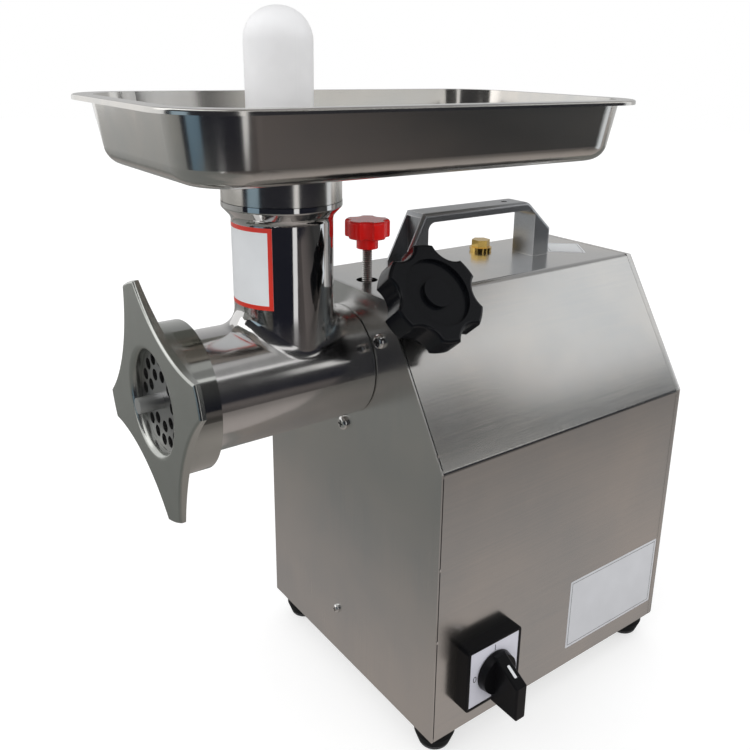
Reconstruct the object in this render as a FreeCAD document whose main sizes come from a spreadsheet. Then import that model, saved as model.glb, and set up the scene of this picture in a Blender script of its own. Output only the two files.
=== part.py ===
import FreeCAD, Part
import math
import os
import re

import Sketcher

# An electric meat grinder with a number 12 head. The machine stands on the plane z = 0 with its
# barrel pointing to -Y. Heights named "level" are above the underside of the casing, and "forward"
# and "back" places are measured from the front panel. Bodies turn or grow along their own Z axis.

# Driving sizes in millimetres, degrees and counts, one cell of the sheet each
SIZES = {
    # casing
    "body_width": 220,
    "body_length": 252,
    "body_height": 309,
    "side_height": 210,
    "top_width": 96,
    "sheet_gauge": 1.5,
    "seam_gap": 0.3,
    "bend_radius": 5,
    "panel_flange": 12,
    "rear_depth": 9,
    "rear_round": 6,
    "base_gauge": 2,
    "vent_length": 60,
    "vent_width": 6,
    "vent_round": 2,
    "vent_pitch": 14,
    "vent_count": 6,
    # feet
    "foot_height": 20,
    "foot_dia": 30,
    "foot_tip_dia": 22,
    "foot_tip_round": 2.2,
    "foot_shoulder": 11,
    "foot_inset": 18,
    "foot_bore": 6.4,
    "foot_recess_dia": 12,
    "foot_recess_depth": 9,
    # grinder head
    "barrel_drop": 54.4,
    "barrel_dia": 78,
    "barrel_end_round": 0.8,
    "barrel_bore": 62,
    "spigot_dia": 62,
    "spigot_length": 36,
    "spigot_recess_dia": 50,
    "web_front": 8,
    "web_back": 12,
    "journal_dia": 26,
    "thread_dia": 88,
    "thread_length": 13,
    "head_front": 131,
    "seat_depth": 6,
    "neck_forward": 47,
    "neck_dia": 64.5,
    "neck_rise": 116.9,
    "neck_blend": 12,
    "throat_dia": 52,
    "bead_dia": 76.4,
    "bead_height": 3.5,
    "bead_taper": 6.5,
    "bead_blend": 6,
    "bead_round": 1.2,
    # cutting set
    "plate_dia": 70,
    "plate_thick": 9,
    "plate_play": 0.3,
    "plate_hole_dia": 7.5,
    "outer_hole_ring": 26,
    "outer_hole_count": 16,
    "inner_hole_ring": 16.5,
    "inner_hole_count": 9,
    "plate_key_dia": 5,
    "key_depth": 6.5,
    "pin_dia": 10,
    "pin_stand": 15,
    "knife_thick": 10,
    "knife_span": 59,
    "knife_hub_dia": 27,
    "knife_blade_width": 10,
    "knife_tip_cut": 1,
    "knife_tip_trail": 3,
    "knife_tip_lead": 2,
    "knife_blades": 4,
    "knife_square": 14,
    "washer_thick": 2,
    "thrust_dia": 44,
    "thrust_thick": 5,
    "core_back_dia": 30,
    "core_front_dia": 38,
    "flight_pitch": 30,
    "flight_root": 7,
    "flight_tip": 4,
    "flight_play": 0.6,
    "tang_square": 16,
    "tang_length": 22,
    "tang_play": 2,
    # ring nut
    "ring_lip": 7,
    "flange_root": 6,
    "wing_thick": 4,
    "sleeve_length": 19,
    "sleeve_dia": 95.4,
    "wing_radius": 75,
    "wing_tip": 20,
    "waist_radius": 49.5,
    "wing_angle": 19.5,
    "wing_count": 4,
    "opening_dia": 65,
    "opening_round": 4,
    "wing_edge_round": 1.8,
    # feed tray
    "tray_length": 351,
    "tray_width": 194,
    "tray_back_shift": 23,
    "tray_rise": 20.1,
    "tray_depth": 41.7,
    "tray_gauge": 1.5,
    "tray_rim": 9.5,
    "tray_lip": 3,
    "tray_rim_round": 1.4,
    "tray_flare": 6.2,
    "tray_corner": 42,
    "tray_base_round": 13,
    "tray_collar_dia": 76,
    "tray_spigot_length": 22,
    "tray_spigot_wall": 1.8,
    # pusher
    "pusher_dia": 42,
    "pusher_foot_dia": 40,
    "pusher_stand": 94.4,
    "pusher_crown": 1,
    "pusher_foot_gap": 0.9,
    # clamp screws
    "clamp_back": 19,
    "tip_gap": 0.3,
    "red_stud_dia": 6,
    "red_knob_dia": 31,
    "red_knob_height": 12.5,
    "red_hub_dia": 15,
    "red_hub_height": 7.5,
    "red_hub_rise": 23,
    "red_lobes": 5,
    "red_lobe_turn": 0,
    "red_rim_round": 1.8,
    "red_hole_dia": 15,
    "black_angle": 39.4,
    "black_stud_dia": 10,
    "black_knob_dia": 69,
    "black_knob_depth": 19.5,
    "black_hub_dia": 28,
    "black_hub_depth": 5.6,
    "black_gap": 6.6,
    "black_lobes": 6,
    "black_lobe_turn": -8,
    "black_rim_round": 2.4,
    "black_hole_dia": 16,
    "black_dish_dia": 47,
    "black_boss_dia": 20,
    "black_dish_depth": 3,
    "knob_skin": 8,
    "scallop_share": 0.22,
    "scallop_reach_share": 0.63,
    # carrying handle
    "handle_start": 43,
    "handle_length": 148,
    "handle_height": 44,
    "handle_width": 23,
    "handle_grip": 6.5,
    "front_leg": 21,
    "rear_leg": 19,
    "front_slope": 18,
    "front_post": 9,
    "rear_slope": 26,
    "rear_post": 21,
    "handle_wall": 3.2,
    "handle_base": 4,
    "handle_round": 3,
    "window_round": 6,
    "shoulder_round": 12,
    "grip_hole_dia": 5,
    "grip_hole_front": 105,
    # oil plug
    "plug_side": 27,
    "plug_back": 151,
    "plug_flange_dia": 18,
    "plug_flange_thick": 2,
    "plug_hex": 13,
    "plug_height": 8,
    "plug_stud_dia": 10,
    "plug_stud_reach": 5,
    "plug_washer_thick": 1,
    # head socket and output shaft
    "socket_tube_dia": 78,
    "socket_rear_dia": 72,
    "socket_disc_dia": 88,
    "socket_flange": 8,
    "socket_step": 60,
    "lug_radius": 50,
    "lug_dia": 22,
    "lug_count": 3,
    "lug_turn": 30,
    "socket_play": 0.1,
    "spigot_end_gap": 1,
    "running_play": 0.05,
    "seal_dia": 50,
    "seal_width": 7,
    "nose_dia": 40,
    "nose_back": 13,
    "shaft_dia": 30,
    "front_bearing_dia": 62,
    "front_bearing_width": 16,
    "rear_journal_dia": 25,
    "rear_bearing_dia": 52,
    "rear_bearing_width": 15,
    # gear train
    "gear_module": 2,
    "output_teeth": 42,
    "idler_pinion_teeth": 14,
    "fine_module": 1.5,
    "idler_teeth": 48,
    "motor_teeth": 12,
    "pressure_angle": 20,
    "gear_play": 0.15,
    "slow_face": 18,
    "fast_face": 14,
    "gear_spacing": 5,
    "gear_front_gap": 4,
    "shaft_end_gap": 1,
    "idler_shaft_dia": 18,
    "small_journal_dia": 12,
    "small_bearing_dia": 32,
    "small_bearing_width": 10,
    # gearbox
    "gearbox_start": 104,
    "gearbox_half_width": 51.5,
    "gearbox_drop": 121.5,
    "gearbox_corner": 46,
    "gearbox_wall": 5,
    "gearbox_face": 10,
    "shaft_passage": 1,
    "pinion_passage": 0.75,
    "gearbox_lid": 18,
    "gearbox_lug_dia": 16,
    "gearbox_lug_side": 54,
    "gearbox_lug_high": 15,
    "gearbox_lug_low": 95,
    "gearbox_lug_thick": 12,
    "gearbox_bolt_dia": 6,
    "bolt_head_dia": 10,
    "bolt_head_height": 4,
    # motor
    "motor_dia": 120,
    "motor_start": 18,
    "bell_depth": 22,
    "bell_wall": 5,
    "bell_boss_wall": 5,
    "bell_passage": 2,
    "bell_neck_dia": 80,
    "stator_length": 40,
    "stator_bore": 68.8,
    "air_gap": 0.4,
    "rotor_length": 36,
    "coil_inner_dia": 80,
    "coil_outer_dia": 106,
    "coil_length": 6,
    "fan_dia": 72,
    "fan_hub_dia": 28,
    "fan_width": 10,
    "fan_blades": 8,
    "fan_blade_thick": 2,
    "fan_gap": 2,
    "saddle_width": 84,
    "saddle_thick": 20,
    "saddle_rise": 18,
    # switch
    "switch_back": 46,
    "switch_level": 48,
    "switch_plate": 51,
    "switch_depth": 11.5,
    "switch_corner": 3,
    "switch_edge_round": 1,
    "switch_border": 2.5,
    "dial_thick": 1,
    "dial_recess": 1.4,
    "switch_box": 38,
    "switch_box_depth": 40,
    "switch_neck_dia": 22,
    "knob_base_dia": 32,
    "knob_base_height": 6,
    "knob_base_taper": 1,
    "knob_bar_width": 10,
    "knob_bar_round": 1.6,
    "knob_tail": 22,
    "knob_nose": 16,
    "knob_shoulder": 4,
    "knob_reach": 27.5,
    "spindle_dia": 8,
    # electrics and cord gland
    "capacitor_dia": 40,
    "capacitor_length": 78,
    "capacitor_inset": 32,
    "capacitor_back": 30,
    "capacitor_rise": 4,
    "capacitor_round": 2,
    "clip_width": 14,
    "clip_thick": 1.5,
    "clip_foot": 16,
    "terminal_length": 56,
    "terminal_width": 20,
    "terminal_height": 16,
    "terminal_side_inset": 55,
    "terminal_inset": 42,
    "terminal_ways": 4,
    "terminal_well_dia": 6,
    "gland_inset": 50,
    "gland_level": 45,
    "gland_dia": 24,
    "gland_reach": 15,
    "gland_collar": 8.2,
    "gland_taper": 3.8,
    "gland_round": 1.5,
    "gland_bore": 8.4,
    "gland_stem_dia": 16,
    "gland_stem": 14,
    "gland_nut_dia": 24,
    "gland_nut_thick": 5,
    # screws
    "front_screw_head": 10.4,
    "front_screw_height": 3.6,
    "front_screw_dia": 5,
    "front_screw_length": 9,
    "front_screw_round": 2.7,
    "low_screw_side": 10.5,
    "low_screw_level": 39,
    "low_screw_head": 7,
    "low_screw_height": 2.6,
    "low_screw_dia": 3,
    "low_screw_length": 7.2,
    "low_screw_round": 1.95,
    "handle_screw_dia": 6,
}

# Places and sizes worked out from the driving sizes
PLACES = {
    "mid_x": "-(switch_depth + knob_reach) / 2",
    "mid_y": "(max(pin_reach; tray_reach) - body_length - gland_reach) / 2",
    "tray_reach": "tray_length / 2 - tray_back_shift",
    "body_half": "body_width / 2",
    "slope_run": "(body_width - top_width) / 2",
    "slope_rise": "body_height - side_height",
    "slope_length": "sqrt(slope_run ^ 2 + slope_rise ^ 2)",
    "barrel_level": "body_height - barrel_drop",
    "axis_level": "foot_height + barrel_level",
    "top_level": "foot_height + body_height",
    "seat_forward": "head_front - seat_depth",
    "plate_front": "seat_forward + plate_thick",
    "pin_reach": "plate_front + pin_stand",
    "lip_back": "plate_front + running_play",
    "ring_front": "lip_back + ring_lip",
    "flange_back": "ring_front - flange_root",
    "sleeve_back": "flange_back - sleeve_length",
    "thread_start": "head_front - thread_length",
    "shoulder_forward": "seat_forward - knife_thick - 2 * running_play",
    "washer_front": "web_front + washer_thick + 2 * running_play",
    "thrust_front": "washer_front + thrust_thick",
    "flight_radius": "barrel_bore / 2 - flight_play",
    "neck_level": "barrel_level + neck_rise",
    "tray_level": "neck_level + tray_rise",
    "tray_floor": "foot_height + tray_level",
    "pusher_top_level": "tray_level + pusher_stand",
    "red_hub_level": "body_height + red_hub_rise",
    "seal_back": "spigot_length + spigot_end_gap",
    "bearing_back": "seal_back + seal_width",
    "cavity_start": "gearbox_start + gearbox_face",
    "fast_start": "cavity_start + gear_front_gap",
    "slow_start": "fast_start + fast_face + gear_spacing",
    "cavity_end": "slow_start + slow_face + gear_spacing",
    "lid_end": "cavity_end + gearbox_lid",
    "idler_drop": "gear_module * (output_teeth + idler_pinion_teeth) / 2",
    "motor_drop": "idler_drop + fine_module * (idler_teeth + motor_teeth) / 2",
    "motor_level": "axis_level - motor_drop",
    "stator_start": "motor_start + bell_depth",
    "stator_end": "stator_start + stator_length",
    "motor_end": "stator_end + bell_depth",
    "fan_start": "motor_start - fan_gap - fan_width",
    "slope_distance": "(top_width / 2 * slope_rise + barrel_drop * slope_run) / slope_length",
    "tilt_cos": "(cos(black_angle) * slope_rise + sin(black_angle) * slope_run) / slope_length",
    "tilt_sin": "(sin(black_angle) * slope_rise - cos(black_angle) * slope_run) / slope_length",
    "black_disc_level": "slope_distance + black_gap + black_knob_dia / 2 * abs(tilt_sin)",
    "black_back_radius": "black_disc_level / tilt_cos - black_hub_depth",
    "black_face_radius": "black_back_radius + black_hub_depth + black_knob_depth",
    "terminal_back": "body_length - terminal_inset",
    "terminal_side": "body_half - terminal_side_inset",
    "capacitor_side": "body_half - capacitor_inset",
    "capacitor_height": "foot_height + base_gauge + capacitor_rise + capacitor_dia / 2",
    "gland_side": "body_half - gland_inset",
    "key_place": "-(seat_forward + head_front) / 2",
    "key_low": "axis_level - plate_dia / 2 - key_depth",
    "handle_end": "handle_start + handle_length",
    "front_leg_screw": "handle_start + (front_leg - handle_wall) / 2",
    "rear_leg_screw": "handle_end - rear_leg / 2 + handle_wall",
    "panel_inset": "sheet_gauge + seam_gap",
    "cover_end": "body_length - rear_depth",
    "gland_height": "foot_height + gland_level",
    "low_screw_above": "foot_height + low_screw_level",
}

UP = FreeCAD.Rotation()
FORWARD = FreeCAD.Rotation(FreeCAD.Vector(1, 0, 0), 90)
REARWARD = FreeCAD.Rotation(FreeCAD.Vector(1, 0, 0), -90)
RIGHT = FreeCAD.Rotation(FreeCAD.Vector(0, 1, 0), 90)
HALF_TURN = FreeCAD.Rotation(FreeCAD.Vector(0, 0, 1), 180)

HANDLE_SCREWS = ("front_leg_screw", "rear_leg_screw")

# How near an edge lies to a wanted place to be picked, and how long an edge must be to count
NEAR = 1e-3
SHORT = 1

doc = FreeCAD.newDocument("meat_grinder")
sizes = doc.addObject("Spreadsheet::Sheet", "sizes")
for row, (alias, value) in enumerate(SIZES.items(), start=1):
    sizes.set(f"A{row}", alias)
    sizes.set(f"B{row}", str(value))
    sizes.setAlias(f"B{row}", alias)
doc.recompute()

nodes = []


# Formulas


def formula(text):
    """Write size names as references to the sheet and place names as what they stand for."""

    def swap(match):
        word = match.group()
        if word in PLACES:
            return "(" + formula(PLACES[word]) + ")"
        if word in SIZES:
            return "sizes." + word
        return word

    return re.sub(r"[a-z_]+", swap, str(text))


def number(text):
    """Work a formula out to a plain number."""
    return float(sizes.evalExpression(formula(text)))


def polar(radius, angle):
    """Two formulas for the point at a radius and an angle in degrees."""
    return f"({radius}) * cos({angle})", f"({radius}) * sin({angle})"


# Sketches


def pin(sketch, geometry, point, x, y):
    """Hold a point of a sketch at a place bound to the sheet."""
    for kind, text in (("DistanceX", x), ("DistanceY", y)):
        index = sketch.addConstraint(Sketcher.Constraint(kind, -1, 1, geometry, point, number(text)))
        sketch.setExpression(f"Constraints[{index}]", formula(text))


def hold_radius(sketch, geometry, radius):
    """Hold the radius of a circle or an arc, bound to the sheet."""
    index = sketch.addConstraint(Sketcher.Constraint("Radius", geometry, number(radius)))
    sketch.setExpression(f"Constraints[{index}]", formula(radius))


def corners(*points):
    """A closed ring of straight lines through points."""

    def draw(sketch):
        places = [FreeCAD.Vector(number(x), number(y), 0) for x, y in points]
        first = sketch.GeometryCount
        count = len(places)
        for index in range(count):
            sketch.addGeometry(Part.LineSegment(places[index], places[(index + 1) % count]))
        for index, (x, y) in enumerate(points):
            line = first + index
            after = first + (index + 1) % count
            sketch.addConstraint(Sketcher.Constraint("Coincident", line, 2, after, 1))
            pin(sketch, line, 1, x, y)

    return draw


def circle(x, y, radius):
    """A circle."""

    def draw(sketch):
        centre = FreeCAD.Vector(number(x), number(y), 0)
        index = sketch.addGeometry(Part.Circle(centre, FreeCAD.Vector(0, 0, 1), number(radius)))
        pin(sketch, index, 3, x, y)
        hold_radius(sketch, index, radius)

    return draw


def square(side):
    """A square about the sketch's own centre."""
    return box_ring(f"-({side}) / 2", f"-({side}) / 2", f"({side}) / 2", f"({side}) / 2")


def box_ring(left, low, right, high):
    """A rectangle between two corners."""
    return corners((left, low), (right, low), (right, high), (left, high))


def rounded_box(left, low, right, high, radius):
    """A rectangle with round corners: four lines, and an arc after each of them."""
    inner_left = f"{left} + {radius}"
    inner_right = f"{right} - ({radius})"
    inner_low = f"{low} + {radius}"
    inner_high = f"{high} - ({radius})"
    runs = [
        ((inner_left, low), (inner_right, low), (inner_right, inner_low)),
        ((right, inner_low), (right, inner_high), (inner_right, inner_high)),
        ((inner_right, high), (inner_left, high), (inner_left, inner_high)),
        ((left, inner_high), (left, inner_low), (inner_left, inner_low)),
    ]

    def draw(sketch):
        first = sketch.GeometryCount
        upright = FreeCAD.Vector(0, 0, 1)
        for turn, (start, end, centre) in enumerate(runs):
            places = [FreeCAD.Vector(number(x), number(y), 0) for x, y in (start, end, centre)]
            sketch.addGeometry(Part.LineSegment(places[0], places[1]))
            round_corner = Part.Circle(places[2], upright, number(radius))
            quarter = math.pi / 2
            sketch.addGeometry(Part.ArcOfCircle(round_corner, (turn - 1) * quarter, turn * quarter))
        for turn, (start, end, centre) in enumerate(runs):
            line = first + 2 * turn
            arc = line + 1
            after = first + (2 * turn + 2) % (2 * len(runs))
            pin(sketch, line, 1, *start)
            pin(sketch, line, 2, *end)
            sketch.addConstraint(Sketcher.Constraint("Coincident", line, 2, arc, 1))
            sketch.addConstraint(Sketcher.Constraint("Coincident", arc, 2, after, 1))
            hold_radius(sketch, arc, radius)

    return draw


def drawn(body, plane, rings, lift="0", shift="0"):
    """Add a sketch on one of a body's own planes, lifted off it and shifted along its upright."""
    sketch = body.newObject("Sketcher::SketchObject", f"{body.Name}_sketch")
    support = next(feature for feature in body.Origin.OriginFeatures if feature.Role == plane)
    sketch.AttachmentSupport = (support, [""])
    sketch.MapMode = "FlatFace"
    sketch.setExpression("AttachmentOffset.Base.z", formula(lift))
    sketch.setExpression("AttachmentOffset.Base.y", formula(shift))
    for ring in rings:
        ring(sketch)
    return sketch


# Features


def new_body(label):
    """An empty body."""
    body = doc.addObject("PartDesign::Body", label)
    body.Label = label
    return body


def feature(body, kind, sketch):
    """A feature of a body that is made from a sketch."""
    made = body.newObject("PartDesign::" + kind, f"{body.Name}_{kind}")
    made.Profile = sketch
    return made


def pad(body, rings, start, length, plane="XY_Plane"):
    """Raise rings from a start height by a length."""
    made = feature(body, "Pad", drawn(body, plane, rings, start))
    made.setExpression("Length", formula(length))
    return made


def pad_across(body, rings, width):
    """Raise rings drawn on the body's YZ plane evenly to both sides."""
    made = feature(body, "Pad", drawn(body, "YZ_Plane", rings))
    made.SideType = "Symmetric"
    made.setExpression("Length", formula(width))
    return made


def pad_sideways(body, rings, width):
    """Raise rings drawn on the body's XZ plane evenly to both sides."""
    made = feature(body, "Pad", drawn(body, "XZ_Plane", rings))
    made.SideType = "Symmetric"
    made.setExpression("Length", formula(width))
    return made


def pocket(body, rings, top, depth):
    """Sink rings from a top height down by a depth."""
    made = feature(body, "Pocket", drawn(body, "XY_Plane", rings, top))
    made.setExpression("Length", formula(depth))
    return made


def pocket_across(body, rings, width):
    """Cut rings drawn on the body's YZ plane evenly to both sides."""
    made = feature(body, "Pocket", drawn(body, "YZ_Plane", rings))
    made.SideType = "Symmetric"
    made.setExpression("Length", formula(width))
    return made


def turn_about_z(body, points, kind="Revolution"):
    """Turn a ring of (radius, height) points about the body's Z axis."""
    sketch = drawn(body, "XZ_Plane", [corners(*points)])
    made = feature(body, kind, sketch)
    made.ReferenceAxis = (sketch, ["V_Axis"])
    made.Angle = 360
    return made


def turn_about_neck(body, points, kind="Revolution"):
    """Turn a ring of (height, radius) points about the upright axis of the feed neck."""
    sketch = drawn(body, "YZ_Plane", [corners(*points)], shift="neck_forward")
    made = feature(body, kind, sketch)
    made.ReferenceAxis = (sketch, ["H_Axis"])
    made.Angle = 360
    return made


def repeat_round(body, original, count):
    """Repeat a feature about the body's Z axis."""
    made = body.newObject("PartDesign::PolarPattern", f"{body.Name}_pattern")
    made.Originals = [original]
    made.Axis = (original.Profile[0], ["N_Axis"])
    made.Angle = 360
    made.setExpression("Occurrences", formula(count))
    body.Tip = made
    return made


def soften(body, base, radius, wanted):
    """Round the edges of a feature that a test picks out."""
    doc.recompute()
    names = [f"Edge{index}" for index, edge in enumerate(base.Shape.Edges, start=1) if wanted(edge)]
    made = body.newObject("PartDesign::Fillet", f"{body.Name}_fillet")
    made.Base = (base, names)
    made.setExpression("Radius", formula(radius))
    return made


def level_edge(height, radius=None):
    """A test for round edges that lie level at a height, of one radius if it is given."""
    wanted_height = number(height)
    wanted_radius = None if radius is None else number(radius)

    def wanted(edge):
        box = edge.BoundBox
        if box.ZLength > NEAR or abs(box.ZMin - wanted_height) > NEAR:
            return False
        if wanted_radius is None:
            return True
        return hasattr(edge.Curve, "Radius") and abs(edge.Curve.Radius - wanted_radius) < NEAR

    return wanted


# Placing and naming


def put(part, x="0", y="0", z="0", rotation=UP):
    """Place a part in the machine's frame, bound to the sheet."""
    part.Placement = FreeCAD.Placement(FreeCAD.Vector(0, 0, 0), rotation)
    part.setExpression("Placement.Base.x", formula(f"mid_x + {x}"))
    part.setExpression("Placement.Base.y", formula(f"mid_y + {y}"))
    part.setExpression("Placement.Base.z", formula(z))
    return part


def on_barrel_axis(part, rotation=FORWARD):
    """Place a part on the barrel's axis, measured from the front panel."""
    return put(part, z="axis_level", rotation=rotation)


def rod(label, radius, length, x, y, z, rotation=UP):
    """A plain cylinder, used as a pin or to drill a hole."""
    made = doc.addObject("Part::Cylinder", label)
    made.setExpression("Radius", formula(radius))
    made.setExpression("Height", formula(length))
    return put(made, x, y, z, rotation)


def block(label, length, width, height, x, y, z):
    """A plain box with its low corner at a place."""
    made = doc.addObject("Part::Box", label)
    made.setExpression("Length", formula(length))
    made.setExpression("Width", formula(width))
    made.setExpression("Height", formula(height))
    return put(made, x, y, z)


def drilled(label, base, tools):
    """A part with the tools cut out of it."""
    cutter = doc.addObject("Part::Compound", label + "_cutter")
    cutter.Links = tools
    made = doc.addObject("Part::Cut", label)
    made.Base = base
    made.Tool = cutter
    return made


def group(label, parts):
    """Separate pieces that share a node."""
    made = doc.addObject("Part::Compound", label)
    made.Links = parts
    return made


def node(part, label):
    """Name a finished part and list it for export."""
    part.Label = label
    nodes.append(part)
    return part


def turned(label, points, rotation, **place):
    """A body turned about one axis and placed."""
    body = new_body(label)
    turn_about_z(body, points)
    return put(body, rotation=rotation, **place)


def ring_points(inner, outer, start, length):
    """The section of a plain ring."""
    end = f"{start} + {length}"
    return [(inner, start), (outer, start), (outer, end), (inner, end)]


# Casing


def casing_outline(inset, floor):
    """Corners of the casing seen from the front, moved in by an inset, from left to right."""
    side = f"body_half - ({inset})"
    shoulder = f"side_height - ({inset}) * (slope_length - slope_rise) / slope_run"
    flat = f"top_width / 2 - ({inset}) * (slope_length - slope_run) / slope_rise"
    roof = f"body_height - ({inset})"
    right = [(side, floor), (side, shoulder), (flat, roof)]
    left = [(f"-({x})", z) for x, z in right]
    return left + right[::-1]


def lengthwise_edge(edge):
    """True for straight edges that run along the machine."""
    box = edge.BoundBox
    return box.XLength < NEAR and box.YLength < NEAR and box.ZLength > SHORT


def bent_cover():
    """The sheet that is bent over the sides and the top."""
    body = new_body("cover_sheet")
    outside = casing_outline("0", "0")
    inside = casing_outline("sheet_gauge", "0")
    length = "cover_end - seam_gap - panel_inset"
    sheet = pad(body, [corners(*outside, *inside[::-1])], "seam_gap - cover_end", length)

    def bend(edge):
        return lengthwise_edge(edge) and edge.BoundBox.YMin > SHORT

    bends = soften(body, sheet, "bend_radius", lambda edge: bend(edge) and not inner_bend(edge))
    soften(body, bends, "bend_radius - sheet_gauge", lambda edge: bend(edge) and inner_bend(edge))
    put(body, z="foot_height", rotation=FORWARD)
    deep = "4 * sheet_gauge"
    under = "top_level - 2 * sheet_gauge"
    holes = [
        rod("red_hole", "red_hole_dia / 2", deep, "0", "clamp_back", under),
        rod("plug_hole", "plug_stud_dia / 2 + seam_gap", deep, "-plug_side", "plug_back", under),
        rod("switch_hole", "switch_neck_dia / 2 + seam_gap", deep, "body_half - 2 * sheet_gauge",
            "switch_back", "foot_height + switch_level", RIGHT),
        rod("black_hole", "black_hole_dia / 2", "black_face_radius - barrel_dia / 2",
            *black_place("barrel_dia / 2"), black_rotation()),
    ]
    holes += [
        rod(f"handle_hole_{index}", "handle_screw_dia / 2 + seam_gap", deep, "0", back, under)
        for index, back in enumerate(HANDLE_SCREWS)
    ]
    return drilled("main_cover", body, holes)


def inner_bend(edge):
    """True for the edges on the inside of the sheet."""
    box = edge.BoundBox
    inner = casing_outline("sheet_gauge", "0")
    return any(abs(box.XMin - number(x)) < NEAR and abs(box.YMin - number(z)) < NEAR for x, z in inner)


def end_panel(label, start, face_depth, face_round):
    """A formed end panel: a face, an edge band and a flange that goes inside the cover."""
    body = new_body(label + "_sheet")
    floor = "base_gauge + seam_gap"
    face = pad(body, [corners(*casing_outline("0", "0"))], "0", face_depth)
    if face_round is not None:
        soften(body, face, face_round, level_edge(face_depth))
    flange = pad(body, [corners(*casing_outline("panel_inset", floor))], "-panel_flange", "panel_flange")

    def flange_bend(edge):
        return lengthwise_edge(edge) and edge.BoundBox.ZMax < NEAR

    soften(body, flange, "bend_radius - sheet_gauge", flange_bend)
    hollow = f"panel_flange + {face_depth} - sheet_gauge"
    pocket(body, [corners(*casing_outline("panel_inset + sheet_gauge", f"{floor} + sheet_gauge"))],
           f"{face_depth} - sheet_gauge", hollow)
    return put(body, **start)


def lug_place(turn):
    """Where one of the socket's lugs is, as sideways and upward formulas."""
    return polar("lug_radius", f"lug_turn + {turn} * 360 / lug_count")


def front_panel():
    """The front panel, with the round hole that the head's spigot passes."""
    place = {"z": "foot_height", "y": "sheet_gauge", "rotation": FORWARD}
    sheet = end_panel("front_panel", place, "sheet_gauge", None)
    deep = "3 * sheet_gauge"
    back = "2 * sheet_gauge"
    holes = [rod("spigot_hole", "spigot_dia / 2 + 2 * socket_play", deep, "0", back, "axis_level", FORWARD)]
    for turn in range(int(number("lug_count"))):
        side, rise = lug_place(turn)
        holes.append(rod(f"front_screw_hole_{turn}", "front_screw_dia / 2", deep, side, back,
                         f"axis_level + {rise}", FORWARD))
    holes.append(rod("low_screw_hole", "low_screw_dia / 2", deep, "-low_screw_side", back,
                     "low_screw_above", FORWARD))
    return drilled("front_panel", sheet, holes)


def rear_panel():
    """The rear panel, dished at its edges, with the hole for the cord gland."""
    place = {"z": "foot_height", "y": "cover_end", "rotation": REARWARD * HALF_TURN}
    sheet = end_panel("rear_panel", place, "rear_depth", "rear_round")
    hole = rod("gland_hole", "gland_stem_dia / 2", "2 * rear_depth", "-gland_side",
               "cover_end - sheet_gauge", "gland_height", REARWARD)
    return drilled("rear_panel", sheet, [hole])


def foot_places():
    """Where the four feet stand, by name."""
    side = "body_half - foot_inset"
    rear = "body_length - foot_inset"
    return {
        "front_left": (f"-({side})", "foot_inset"),
        "front_right": (side, "foot_inset"),
        "rear_left": (f"-({side})", rear),
        "rear_right": (side, rear),
    }


def base_plate():
    """The base sheet, with a row of air slots under the motor and the foot holes."""
    body = new_body("base_sheet")
    half = "body_half - panel_inset"
    pad(body, [box_ring(f"-({half})", "panel_inset", half, "cover_end - seam_gap")], "0", "base_gauge")
    start = "(body_length + saddle_thick) / 2"
    end = f"{start} + vent_width"
    outline = rounded_box("-vent_length / 2", start, "vent_length / 2", end, "vent_round")
    slot = pocket(body, [outline], "base_gauge", "base_gauge")
    row = body.newObject("PartDesign::LinearPattern", "vents")
    row.Originals = [slot]
    row.Direction = (slot.Profile[0], ["V_Axis"])
    row.setExpression("Length", formula("vent_pitch * (vent_count - 1)"))
    row.setExpression("Occurrences", formula("vent_count"))
    body.Tip = row
    put(body, z="foot_height")
    holes = [
        rod(f"foot_hole_{name}", "foot_bore / 2", "3 * base_gauge", x, y, "foot_height - base_gauge")
        for name, (x, y) in foot_places().items()
    ]
    return drilled("base_plate", body, holes)


def rubber_foot(name, x, y):
    """A bowl-shaped rubber foot with a recess for its screw."""
    body = new_body("rubber_foot_" + name)
    sides = [
        ("foot_bore / 2", "foot_recess_depth"),
        ("foot_recess_dia / 2", "foot_recess_depth"),
        ("foot_recess_dia / 2", "0"),
        ("foot_tip_dia / 2", "0"),
        ("foot_dia / 2", "foot_shoulder"),
        ("foot_dia / 2", "foot_height"),
        ("foot_bore / 2", "foot_height"),
    ]
    shape = turn_about_z(body, sides)
    soften(body, shape, "foot_tip_round", level_edge("0", "foot_tip_dia / 2"))
    return put(body, x, y)


def foot_screw(name, x, y):
    """A foot's screw, with its head up in the recess."""
    radius = "foot_bore / 2 - running_play"
    head = "foot_recess_dia / 2 - seam_gap"
    low = "foot_recess_depth - bolt_head_height"
    seat = "foot_recess_depth"
    top = "foot_height + base_gauge"
    points = [("0", low), (head, low), (head, seat), (radius, seat), (radius, top), ("0", top)]
    return turned("foot_screw_" + name, points, UP, x=x, y=y)


def pan_screw(label, kind, x, z):
    """A round-headed screw in the front panel, of the front or the low kind."""
    body = new_body(label)
    shank = f"{kind}_screw_dia / 2"
    edge = f"{kind}_screw_head / 2"
    height = f"{kind}_screw_height"
    tip = f"-{kind}_screw_length"
    points = [("0", tip), (shank, tip), (shank, "0"), (edge, "0"), (edge, height), ("0", height)]
    shape = turn_about_z(body, points)
    soften(body, shape, f"{kind}_screw_round", level_edge(height))
    return put(body, x, "0", z, FORWARD)


def front_screws():
    """Three screws that hold the socket to the front panel, and a small one low down."""
    screws = []
    for turn in range(int(number("lug_count"))):
        side, rise = lug_place(turn)
        screws.append(pan_screw(f"front_screw_{turn}", "front", side, f"axis_level + {rise}"))
    screws.append(pan_screw("low_screw", "low", "-low_screw_side", "low_screw_above"))
    return group("front_screws", screws)


# Carrying handle and oil plug


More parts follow.
